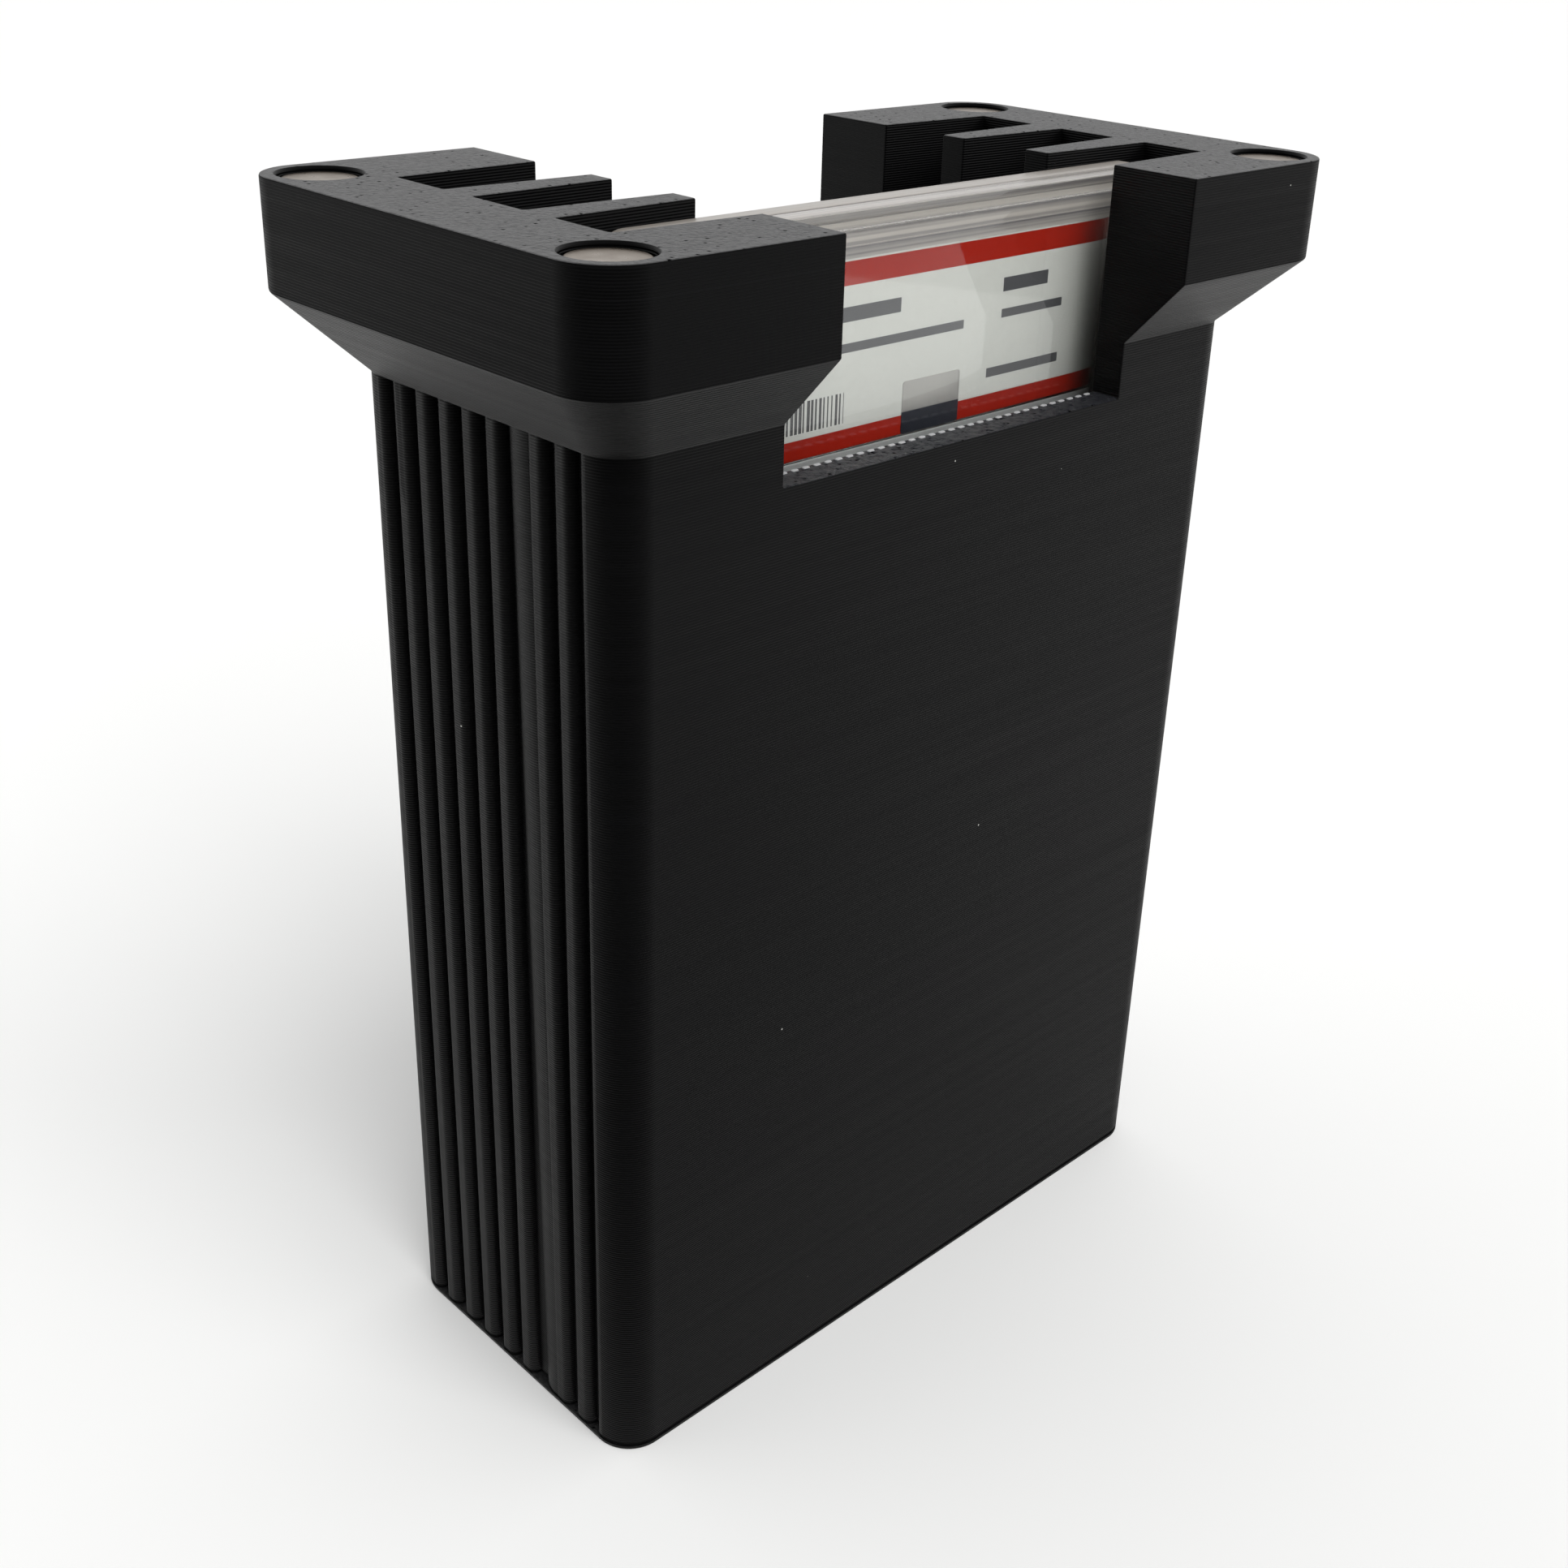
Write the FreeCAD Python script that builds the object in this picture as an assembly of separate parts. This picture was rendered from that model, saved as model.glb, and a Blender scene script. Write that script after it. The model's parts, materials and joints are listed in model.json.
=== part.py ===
import FreeCAD, Part
import os

from FreeCAD import Vector

# A printed crate for graded cards, with one sealed card holder (slab) standing in its front slot.
# Millimetres. X runs along the front, Y from front to back, Z up.
# The origin is the middle of the base, on the surface that the crate stands on.

# The slab: two clear shells with a paper label above a card
slab_thickness = 6.3
slab_corner_radius = 3.2
slab_rim_width = 3.6
slab_panel_recess = 0.55
slab_panel_corner_radius = 1.6

# The weld: a tongue round the front shell in a groove round the back shell
weld_inset = 1.5
weld_width = 0.8
weld_height = 0.7
weld_clearance = 0.08

# The label and its foil seal
label_width = 70.0
label_height = 20.6
label_thickness = 0.4
label_top_margin = 5.3
label_side_margin = 6.25
seal_width = 9.4
seal_height = 6.0
seal_thickness = 0.08
seal_offset = 2.6

# The card
card_width = 63.5
card_height = 88.9
card_thickness = 0.35
card_corner_radius = 3.0
card_bottom_margin = 10.5
card_label_gap = 11.2

# Wells for the label and the card in the back shell
well_clearance = 0.15
panel_margin = 2.0

# The slots: each is narrow at its closed end and flares towards the middle of the crate
slot_count = 3
slot_face_clearance = 1.0
slot_end_clearance = 3.75
slot_flare = 0.7
tooth_tip_width = 3.5

# The crate's walls
floor_thickness = 5.0
side_wall = 3.75
front_wall = 4.0
body_corner_radius = 4.8
slab_recess = 1.5

# The flange round the top, and the slope below it
flange_overhang = 7.5
flange_face_height = 11.8
flange_slope_height = 8.1

# The windows, front and rear, that show the label and let fingers in
window_width = 54.4
sill_above_label = 0.9

# The upright reeds on the two short sides: two groups out of step, with one wide leaning reed between them
rear_reed_count = 6
front_reed_count = 3
reed_margin = 4.15
reed_group_gap = 7.1
reed_edge_radius = 1.1
valley_width = 1.2
valley_depth = 1.2
wide_reed_radius = 4.0
wide_reed_setback = 0.05
wide_reed_head_step = 2.6
wide_reed_foot_step = 1.3
plinth_height = 0.6

# The corner magnets
magnet_diameter = 8.0
magnet_thickness = 2.5
magnet_recess = 0.5
magnet_clearance = 0.4
magnet_wall = 1.6

# How far a cutting tool runs past the face it cuts
overrun = 2.0

# A right angle, in degrees
quarter_turn = 90.0

# Sizes that follow
slab_width = label_width + 2 * label_side_margin
slab_height = card_bottom_margin + card_height + card_label_gap + label_height + label_top_margin
slot_root_width = slab_thickness + 2 * slot_face_clearance
slot_mouth_width = slot_root_width + 2 * slot_flare
slot_length = slab_width + 2 * slot_end_clearance
slot_pitch = slot_mouth_width + tooth_tip_width
slot_span = (slot_count - 1) * slot_pitch
body_width = slot_length + 2 * side_wall
body_depth = slot_span + slot_mouth_width + 2 * front_wall
crate_height = floor_thickness + slab_height + slab_recess
flange_width = body_width + 2 * flange_overhang
flange_depth = body_depth + 2 * flange_overhang
flange_base = crate_height - flange_face_height
slope_base = flange_base - flange_slope_height
slab_base = floor_thickness
slab_middle = -slot_span / 2
label_base = slab_base + slab_height - label_top_margin - label_height
sill_height = label_base + sill_above_label
card_base = slab_base + card_bottom_margin
shell_thickness = slab_thickness / 2
label_well_depth = label_thickness + seal_thickness + well_clearance
card_well_depth = card_thickness + well_clearance
reed_end = body_depth / 2 - reed_margin
reed_pitch = (2 * reed_end - reed_group_gap) / (rear_reed_count + front_reed_count - 2)
reed_width = reed_pitch - valley_width
reed_height = slope_base - plinth_height
pocket_depth = magnet_thickness + magnet_recess
pocket_radius = magnet_diameter / 2 + magnet_clearance
flange_corner_radius = pocket_radius + magnet_wall


def slot_middles():
    """The Y of each slot's middle, front to back."""
    return [index * slot_pitch - slot_span / 2 for index in range(slot_count)]


def rounded_outline(width, depth, radius, level):
    """A level rounded rectangle about the Z axis, as a closed wire."""
    half_x = width / 2
    half_y = depth / 2
    flat_x = half_x - radius
    flat_y = half_y - radius
    centres = [(flat_x, flat_y), (-flat_x, flat_y), (-flat_x, -flat_y), (flat_x, -flat_y)]
    corners = []
    for quarter, (x, y) in enumerate(centres):
        start = quarter * quarter_turn
        turns = [start, start + quarter_turn / 2, start + quarter_turn]
        corners.append([Vector(x, y, level) + turned(radius, turn) for turn in turns])
    edges = []
    for index, (first, middle, last) in enumerate(corners):
        following = corners[(index + 1) % len(corners)][0]
        edges.append(Part.Arc(first, middle, last).toShape())
        edges.append(Part.LineSegment(last, following).toShape())
    return Part.Wire(edges)


def turned(length, degrees):
    """A level vector of this length, turned from X towards Y."""
    return FreeCAD.Rotation(Vector(0, 0, 1), degrees).multVec(Vector(length, 0, 0))


def rounded_prism(width, depth, radius, base, height):
    """An upright block with rounded upright edges, centred on the Z axis."""
    outline = rounded_outline(width, depth, radius, base)
    return Part.Face(outline).extrude(Vector(0, 0, height))


def centred_box(width, depth, height, base):
    """A box centred on the Z axis, standing at base."""
    return Part.makeBox(width, depth, height, Vector(-width / 2, -depth / 2, base))


def crate_outside():
    """Body, slope and flange, joined as one print."""
    body = rounded_prism(body_width, body_depth, body_corner_radius, 0, slope_base)
    lower = rounded_outline(body_width, body_depth, body_corner_radius, slope_base)
    upper = rounded_outline(flange_width, flange_depth, flange_corner_radius, flange_base)
    slope = Part.makeLoft([lower, upper], True, True)
    flange = rounded_prism(flange_width, flange_depth, flange_corner_radius, flange_base, flange_face_height)
    return body.fuse([slope, flange]).removeSplitter()


def well_cut():
    """The slots and the open middle between the tooth tips, from the floor up through the top."""
    tip = window_width / 2
    root = slot_length / 2
    half_root = slot_root_width / 2
    half_mouth = slot_mouth_width / 2
    right = []
    for middle in slot_middles():
        right.append((tip, middle - half_mouth))
        right.append((root, middle - half_root))
        right.append((root, middle + half_root))
        right.append((tip, middle + half_mouth))
    left = [(-x, y) for x, y in reversed(right)]
    points = [Vector(x, y, floor_thickness) for x, y in right + left]
    outline = Part.makePolygon(points + points[:1])
    return Part.Face(outline).extrude(Vector(0, 0, crate_height - floor_thickness + overrun))


def window_cut():
    """The front and rear windows in one cut, from the sills up."""
    depth = flange_depth + 2 * overrun
    return centred_box(window_width, depth, crate_height - sill_height + overrun, sill_height)


def reed_middles():
    """The Y of each plain reed's middle: the rear group from the back, then the front group from the front."""
    rear = [reed_end - index * reed_pitch for index in range(rear_reed_count)]
    front = [index * reed_pitch - reed_end for index in range(front_reed_count)]
    return rear + front


def plain_reed(y):
    """One upright bar with rounded edges, its outer face in the right side of the body."""
    depth = 2 * (valley_depth + reed_edge_radius)
    bar = rounded_prism(depth, reed_width, reed_edge_radius, plinth_height, reed_height)
    bar.translate(Vector((body_width - depth) / 2, y, 0))
    return bar


def wide_reed():
    """The round reed that leans towards the front as it goes down, beside the last reed of the front group."""
    x = body_width / 2 - wide_reed_setback - wide_reed_radius
    last_front = reed_middles()[-1]
    foot = Vector(x, last_front + wide_reed_foot_step, plinth_height)
    head = Vector(x, last_front + wide_reed_head_step, slope_base)
    lean = (head - foot).normalize()
    return Part.makeCylinder(wide_reed_radius, reed_height + 2 * overrun, foot - lean * overrun, lean)


def valley_cuts():
    """What is cut from the two short sides to leave the reeds standing, from the plinth up to the slope."""
    corner = Vector(body_width / 2 - valley_depth, -reed_end, plinth_height)
    plate = Part.makeBox(valley_depth + overrun, 2 * reed_end, reed_height, corner)
    right = plate.cut([plain_reed(y) for y in reed_middles()] + [wide_reed()])
    left = right.mirror(Vector(0, 0, 0), Vector(1, 0, 0))
    return [right, left]


def magnet_places():
    """Each magnet's name with the X and Y of its middle, which is also the middle of the flange's corner."""
    x = flange_width / 2 - flange_corner_radius
    y = flange_depth / 2 - flange_corner_radius
    return {
        "magnet_front_left": (-x, -y),
        "magnet_front_right": (x, -y),
        "magnet_rear_left": (-x, y),
        "magnet_rear_right": (x, y),
    }


def pocket_cuts():
    """A round pocket for each magnet, open at the top."""
    base = crate_height - pocket_depth
    return [
        Part.makeCylinder(pocket_radius, pocket_depth + overrun, Vector(x, y, base))
        for x, y in magnet_places().values()
    ]


def crate_body():
    """The whole printed crate."""
    cuts = [well_cut(), window_cut()] + valley_cuts() + pocket_cuts()
    return crate_outside().cut(cuts)


def magnet(x, y):
    """One disc magnet on the floor of its pocket."""
    return Part.makeCylinder(magnet_diameter / 2, magnet_thickness, Vector(x, y, crate_height - pocket_depth))


def upright_plate(width, height, radius, front, depth, base):
    """A plate facing front with rounded corners, standing at base, from Y = front backwards by depth."""
    outline = rounded_outline(width, height, radius, 0)
    plate = Part.Face(outline).extrude(Vector(0, 0, depth))
    plate.rotate(Vector(0, 0, 0), Vector(1, 0, 0), quarter_turn)
    plate.translate(Vector(0, front + depth, base + height / 2))
    return plate


def panel_cuts(front):
    """The two shallow panels in a slab face, over the label and over the card, with a bar between them."""
    width = slab_width - 2 * slab_rim_width
    label_panel_base = label_base - panel_margin
    label_panel_top = slab_base + slab_height - slab_rim_width
    card_panel_base = slab_base + slab_rim_width
    card_panel_top = card_base + card_height + panel_margin
    spans = [(label_panel_base, label_panel_top), (card_panel_base, card_panel_top)]
    depth = slab_panel_recess + overrun
    return [
        upright_plate(width, top - base, slab_panel_corner_radius, front, depth, base)
        for base, top in spans
    ]


def weld_ring(front, width, height):
    """A ring that follows the slab's edge, its middle line at the weld's inset, from Y = front backwards."""
    outer_inset = weld_inset + (weld_width - width) / 2
    inner_inset = outer_inset + width
    rings = []
    for inset in (outer_inset, inner_inset):
        ring_width = slab_width - 2 * inset
        ring_height = slab_height - 2 * inset
        ring_radius = max(slab_corner_radius - inset, weld_clearance)
        rings.append(upright_plate(ring_width, ring_height, ring_radius, front, height, slab_base + inset))
    return rings[0].cut(rings[1])


def slab_front_shell():
    """The clear front half of the slab, with the weld tongue on its back."""
    front = slab_middle - shell_thickness
    plate = upright_plate(slab_width, slab_height, slab_corner_radius, front, shell_thickness, slab_base)
    tongue = weld_ring(slab_middle, weld_width, weld_height)
    return plate.cut(panel_cuts(front - overrun)).fuse(tongue).removeSplitter()


def slab_back_shell():
    """The clear back half of the slab, with the weld groove and the wells for the label and the card."""
    plate = upright_plate(slab_width, slab_height, slab_corner_radius, slab_middle, shell_thickness, slab_base)
    panels = panel_cuts(slab_middle + shell_thickness - slab_panel_recess)
    groove = weld_ring(slab_middle, weld_width + 2 * weld_clearance, weld_height + weld_clearance)
    label_well = centred_box(
        label_width + 2 * well_clearance, label_well_depth, label_height + well_clearance, label_base
    )
    label_well.translate(Vector(0, slab_middle + label_well_depth / 2, 0))
    card_well = upright_plate(
        card_width + 2 * well_clearance,
        card_height + well_clearance,
        card_corner_radius,
        slab_middle,
        card_well_depth,
        card_base,
    )
    return plate.cut(panels + [groove, label_well, card_well])


def slab_label():
    """The paper label, lying on the floor of its well."""
    back = slab_middle + label_well_depth
    label = centred_box(label_width, label_thickness, label_height, label_base)
    label.translate(Vector(0, back - label_thickness / 2, 0))
    return label


def label_seal():
    """The square of foil on the face of the label, at its lower edge."""
    back = slab_middle + label_well_depth - label_thickness
    seal = centred_box(seal_width, seal_thickness, seal_height, label_base)
    seal.translate(Vector(seal_offset, back - seal_thickness / 2, 0))
    return seal


def graded_card():
    """The card, lying on the floor of its well."""
    front = slab_middle + card_well_depth - card_thickness
    return upright_plate(card_width, card_height, card_corner_radius, front, card_thickness, card_base)


def build():
    """Every piece by its name."""
    pieces = {"crate_body": crate_body()}
    for name, (x, y) in magnet_places().items():
        pieces[name] = magnet(x, y)
    pieces["slab_front_shell"] = slab_front_shell()
    pieces["slab_back_shell"] = slab_back_shell()
    pieces["slab_label"] = slab_label()
    pieces["label_seal"] = label_seal()
    pieces["graded_card"] = graded_card()
    return pieces


os.makedirs("parts", exist_ok=True)
for node, shape in build().items():
    print(node, "solids", len(shape.Solids), "valid", shape.isValid(), "volume", round(shape.Volume, 1))
    shape.exportStep(os.path.join("parts", node + ".step"))
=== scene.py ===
"""Dresses a printed crate for graded cards, with one sealed card holder (slab) standing in its front slot."""

import json
import logging
import math
from collections.abc import Callable, Iterator
from contextlib import contextmanager
from dataclasses import dataclass, field
from enum import Enum

import bmesh
import bpy
from mathutils import Matrix, Vector

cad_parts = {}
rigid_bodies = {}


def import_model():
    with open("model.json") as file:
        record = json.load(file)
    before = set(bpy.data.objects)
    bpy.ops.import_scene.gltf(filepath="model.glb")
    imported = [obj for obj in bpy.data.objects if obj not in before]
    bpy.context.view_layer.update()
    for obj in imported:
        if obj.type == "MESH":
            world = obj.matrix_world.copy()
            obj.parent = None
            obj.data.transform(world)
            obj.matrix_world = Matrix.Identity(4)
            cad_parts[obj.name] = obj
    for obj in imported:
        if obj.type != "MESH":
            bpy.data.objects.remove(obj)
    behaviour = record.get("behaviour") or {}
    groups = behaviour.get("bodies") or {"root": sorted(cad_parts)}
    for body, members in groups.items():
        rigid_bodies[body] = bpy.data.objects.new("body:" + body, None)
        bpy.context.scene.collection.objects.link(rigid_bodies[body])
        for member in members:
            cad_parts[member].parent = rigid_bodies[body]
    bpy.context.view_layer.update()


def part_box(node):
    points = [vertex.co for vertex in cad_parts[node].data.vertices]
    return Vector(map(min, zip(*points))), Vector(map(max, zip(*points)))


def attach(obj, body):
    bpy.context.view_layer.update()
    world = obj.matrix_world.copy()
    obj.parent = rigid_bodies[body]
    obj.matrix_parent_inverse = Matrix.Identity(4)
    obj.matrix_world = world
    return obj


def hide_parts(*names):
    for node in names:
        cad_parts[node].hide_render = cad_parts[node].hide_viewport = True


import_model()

LOG = logging.getLogger("graded_card_crate")

# Blender's wave texture makes one band in this many units at a scale of 1.
WAVE_UNIT = 2 * math.pi / 20

# How many finer layers a noise pattern has, and the values that most of it lies between.
SOFT_DETAIL = 2.0
MIDDLE_DETAIL = 3.0
FINE_DETAIL = 4.0
NOISE_LOW = 0.35
NOISE_HIGH = 0.65

# The share of a face's normal along an axis when the face is square to it, looks that way or leans that way.
SQUARE = 0.99
FACING = 0.9
LEANING = 0.4
# A face is upright if less than this share of its normal lies along Z.
UPRIGHT = 0.3

# An edge that turns by more than the first is rounded, and one that turns by less than the second is smooth.
SHARP_TURN = math.radians(35)
SMOOTH_TURN = math.radians(32)

# A lozenge is a square that stands on a corner.
LOZENGE_TURN = math.radians(45)

FaceTest = Callable[[Vector, Vector], bool]


class Body(Enum):
    """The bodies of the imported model."""

    CRATE = "crate"
    SLAB = "slab"


class Slot(Enum):
    """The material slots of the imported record."""

    PRINT = "black_print"
    NICKEL = "nickel_magnet"
    CLEAR = "clear_shell"
    LABEL = "label_paper"
    FOIL = "seal_foil"
    CARD = "card_stock"


class Axis(Enum):
    """An axis of the frame, by its place in a vector."""

    X = 0
    Y = 1
    Z = 2


def mm(length: float) -> float:
    """A length in millimetres, as metres."""
    return length / 1000


# Faces this close to a plane lie on it, and points this close to each other are merged.
NEAR = mm(0.1)
MERGE = mm(0.002)


def repeats(size: float) -> float:
    """The texture scale that gives a pattern this size in millimetres."""
    return 1 / mm(size)


def linear(colour: str) -> tuple[float, float, float, float]:
    """Turn an sRGB hex colour into the linear colour that a shader takes.

    Args:
        colour: Six hex digits after a hash sign.

    Returns:
        Linear red, green and blue, and an alpha of 1.
    """
    # The numbers are those of the sRGB standard.
    shares = [int(colour[place:place + 2], 16) / 255 for place in (1, 3, 5)]
    red, green, blue = [
        share / 12.92 if share <= 0.04045 else ((share + 0.055) / 1.055) ** 2.4 for share in shares
    ]
    return red, green, blue, 1.0


def clear_selection() -> None:
    """Deselect every object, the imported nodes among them."""
    bpy.ops.object.select_all(action="DESELECT")


def make_active(piece: bpy.types.Object) -> None:
    """Select one piece alone and make it the active object.

    Args:
        piece: The object.
    """
    clear_selection()
    piece.select_set(True)
    bpy.context.view_layer.objects.active = piece


@contextmanager
def editing(piece: bpy.types.Object) -> Iterator[None]:
    """Hold a piece in edit mode with nothing selected.

    Args:
        piece: The mesh object to edit.

    Yields:
        Nothing, while the piece is in edit mode.
    """
    make_active(piece)
    bpy.ops.object.mode_set(mode="EDIT")
    bpy.ops.mesh.select_mode(type="FACE")
    bpy.ops.mesh.select_all(action="DESELECT")
    yield
    bpy.ops.object.mode_set(mode="OBJECT")


def select_faces(piece: bpy.types.Object, wanted: FaceTest) -> None:
    """Select the faces of a piece in edit mode that pass a test.

    Args:
        piece: The mesh object in edit mode.
        wanted: Takes a face's middle and normal, and says whether to select it.
    """
    mesh = bmesh.from_edit_mesh(piece.data)
    for face in mesh.faces:
        face.select_set(wanted(face.calc_center_median(), face.normal))
    bmesh.update_edit_mesh(piece.data)


def block(name: str, low: Vector, high: Vector) -> bpy.types.Object:
    """Add a box between two corners, to be shaped further.

    Args:
        name: The new object's name.
        low: The lowest corner, in metres.
        high: The highest corner, in metres.

    Returns:
        The box, with its place in its mesh.
    """
    clear_selection()
    bpy.ops.mesh.primitive_cube_add(size=1, location=(low + high) / 2)
    piece = bpy.context.active_object
    piece.name = name
    piece.scale = high - low
    bpy.ops.object.transform_apply(location=True, rotation=True, scale=True)
    return piece


def round_edges(piece: bpy.types.Object, axis: Axis, radius: float, segments: int) -> None:
    """Round the four edges of a box that run along one axis.

    Args:
        piece: A box.
        axis: The axis that the edges run along.
        radius: The radius of the rounding, in metres.
        segments: How many flats make a quarter turn.
    """
    with editing(piece):
        bpy.ops.mesh.select_mode(type="EDGE")
        mesh = bmesh.from_edit_mesh(piece.data)
        for edge in mesh.edges:
            run = edge.verts[1].co - edge.verts[0].co
            edge.select_set(abs(run[axis.value]) > FACING * run.length)
        bmesh.update_edit_mesh(piece.data)
        bpy.ops.mesh.bevel(offset=radius, segments=segments, affect="EDGES")


def rod(name: str, middle: Vector, radius: float, sides: int, base: float, top: float) -> bpy.types.Object:
    """Add an upright round bar, to be shaped further.

    Args:
        name: The new object's name.
        middle: A point on its axis.
        radius: Its radius, in metres.
        sides: How many flats go round it.
        base: The height of its foot.
        top: The height of its head.

    Returns:
        The bar, with its place in its mesh.
    """
    clear_selection()
    place = (middle.x, middle.y, (base + top) / 2)
    bpy.ops.mesh.primitive_cylinder_add(vertices=sides, radius=radius, depth=top - base, location=place)
    piece = bpy.context.active_object
    piece.name = name
    bpy.ops.object.transform_apply(location=True, rotation=True, scale=True)
    return piece


def apply_modifier(piece: bpy.types.Object, kind: str, **settings: object) -> None:
    """Add a modifier to a piece and apply it.

    Args:
        piece: The mesh object.
        kind: Blender's name for the kind of modifier.
        **settings: The modifier's settings by name.
    """
    make_active(piece)
    modifier = piece.modifiers.new(kind.lower(), kind)
    for name, value in settings.items():
        setattr(modifier, name, value)
    bpy.ops.object.modifier_apply(modifier=modifier.name)


def cut(piece: bpy.types.Object, cutter: bpy.types.Object) -> None:
    """Cut one mesh out of another and delete the cutter."""
    apply_modifier(piece, "BOOLEAN", operation="DIFFERENCE", solver="EXACT", object=cutter)
    bpy.data.objects.remove(cutter)


def join(piece: bpy.types.Object, other: bpy.types.Object) -> None:
    """Join another mesh to a piece.

    Args:
        piece: The mesh object that stays.
        other: The mesh object that becomes part of it.
    """
    make_active(piece)
    other.select_set(True)
    bpy.ops.object.join()


def repeat_along(piece: bpy.types.Object, count: int, step: Vector) -> None:
    """Copy a mesh at even steps along a line.

    Args:
        piece: The mesh object.
        count: How many there are in the end.
        step: The way from one to the next.
    """
    apply_modifier(
        piece,
        "ARRAY",
        count=count,
        use_relative_offset=False,
        use_constant_offset=True,
        constant_offset_displace=step,
    )


def soften(piece: bpy.types.Object, width: float, segments: int) -> None:
    """Round every sharp edge of a piece a little.

    Args:
        piece: The mesh object.
        width: How far the rounding reaches from the edge, in metres.
        segments: How many flats make the rounding.
    """
    apply_modifier(
        piece,
        "BEVEL",
        width=width,
        segments=segments,
        limit_method="ANGLE",
        angle_limit=SHARP_TURN,
        use_clamp_overlap=False,
        miter_outer="MITER_ARC",
    )


def close_up(piece: bpy.types.Object) -> None:
    """Merge doubled points, turn every face outwards and shade curved faces smooth.

    Args:
        piece: The mesh object.
    """
    with editing(piece):
        bpy.ops.mesh.select_all(action="SELECT")
        bpy.ops.mesh.remove_doubles(threshold=MERGE)
        bpy.ops.mesh.normals_make_consistent(inside=False)
    bpy.ops.object.shade_smooth_by_angle(angle=SMOOTH_TURN)


def level_shading(piece: bpy.types.Object) -> None:
    """Keep the shading of flat faces flat beside their rounded edges."""
    apply_modifier(piece, "WEIGHTED_NORMAL", mode="FACE_AREA", keep_sharp=True)


def dress_faces(piece: bpy.types.Object, material: bpy.types.Material, wanted: FaceTest) -> None:
    """Give some faces of a piece a finish of their own.

    Args:
        piece: The mesh object.
        material: The finish to add.
        wanted: Takes a face's middle and normal, and says whether the face gets the finish.
    """
    piece.data.materials.append(material)
    with editing(piece):
        select_faces(piece, wanted)
        piece.active_material_index = len(piece.data.materials) - 1
        bpy.ops.object.material_slot_assign()


def hand_over(piece: bpy.types.Object, body: Body, node: str) -> None:
    """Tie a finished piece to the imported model.

    Args:
        piece: The finished mesh object.
        body: The body that it moves with.
        node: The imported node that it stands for.
    """
    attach(piece, body.value)
    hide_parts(node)


def add_node(
    tree: bpy.types.NodeTree,
    kind: str,
    inputs: dict[str | int, object] | None = None,
    **settings: object,
) -> bpy.types.Node:
    """Add one shader node, with its settings and links.

    Args:
        tree: The node tree.
        kind: The node's type, without the words ShaderNode.
        inputs: Each input socket's value, or the output socket that is linked to it.
        **settings: The node's own settings by name.

    Returns:
        The new node.
    """
    made = tree.nodes.new("ShaderNode" + kind)
    for name, value in settings.items():
        setattr(made, name, value)
    for socket, value in (inputs or {}).items():
        if isinstance(value, bpy.types.NodeSocket):
            tree.links.new(value, made.inputs[socket])
        else:
            made.inputs[socket].default_value = value
    return made


def start_material(name: str) -> tuple[bpy.types.Material, bpy.types.NodeTree, bpy.types.NodeSocket]:
    """Begin a node material.

    Args:
        name: The material's name.

    Returns:
        The material, its empty node tree, and the Object coordinates in metres.
    """
    material = bpy.data.materials.new(name)
    material.use_nodes = True
    tree = material.node_tree
    tree.nodes.clear()
    return material, tree, add_node(tree, "TexCoord").outputs["Object"]


def end_material(material: bpy.types.Material, look: dict[str | int, object]) -> bpy.types.Material:
    """Give a material its shader and its output.

    Args:
        material: The material, with the nodes of its patterns.
        look: The shader's inputs, as add_node takes them.

    Returns:
        The finished material.
    """
    tree = material.node_tree
    shader = add_node(tree, "BsdfPrincipled", look)
    add_node(tree, "OutputMaterial", {"Surface": shader.outputs[0]})
    return material


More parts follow.
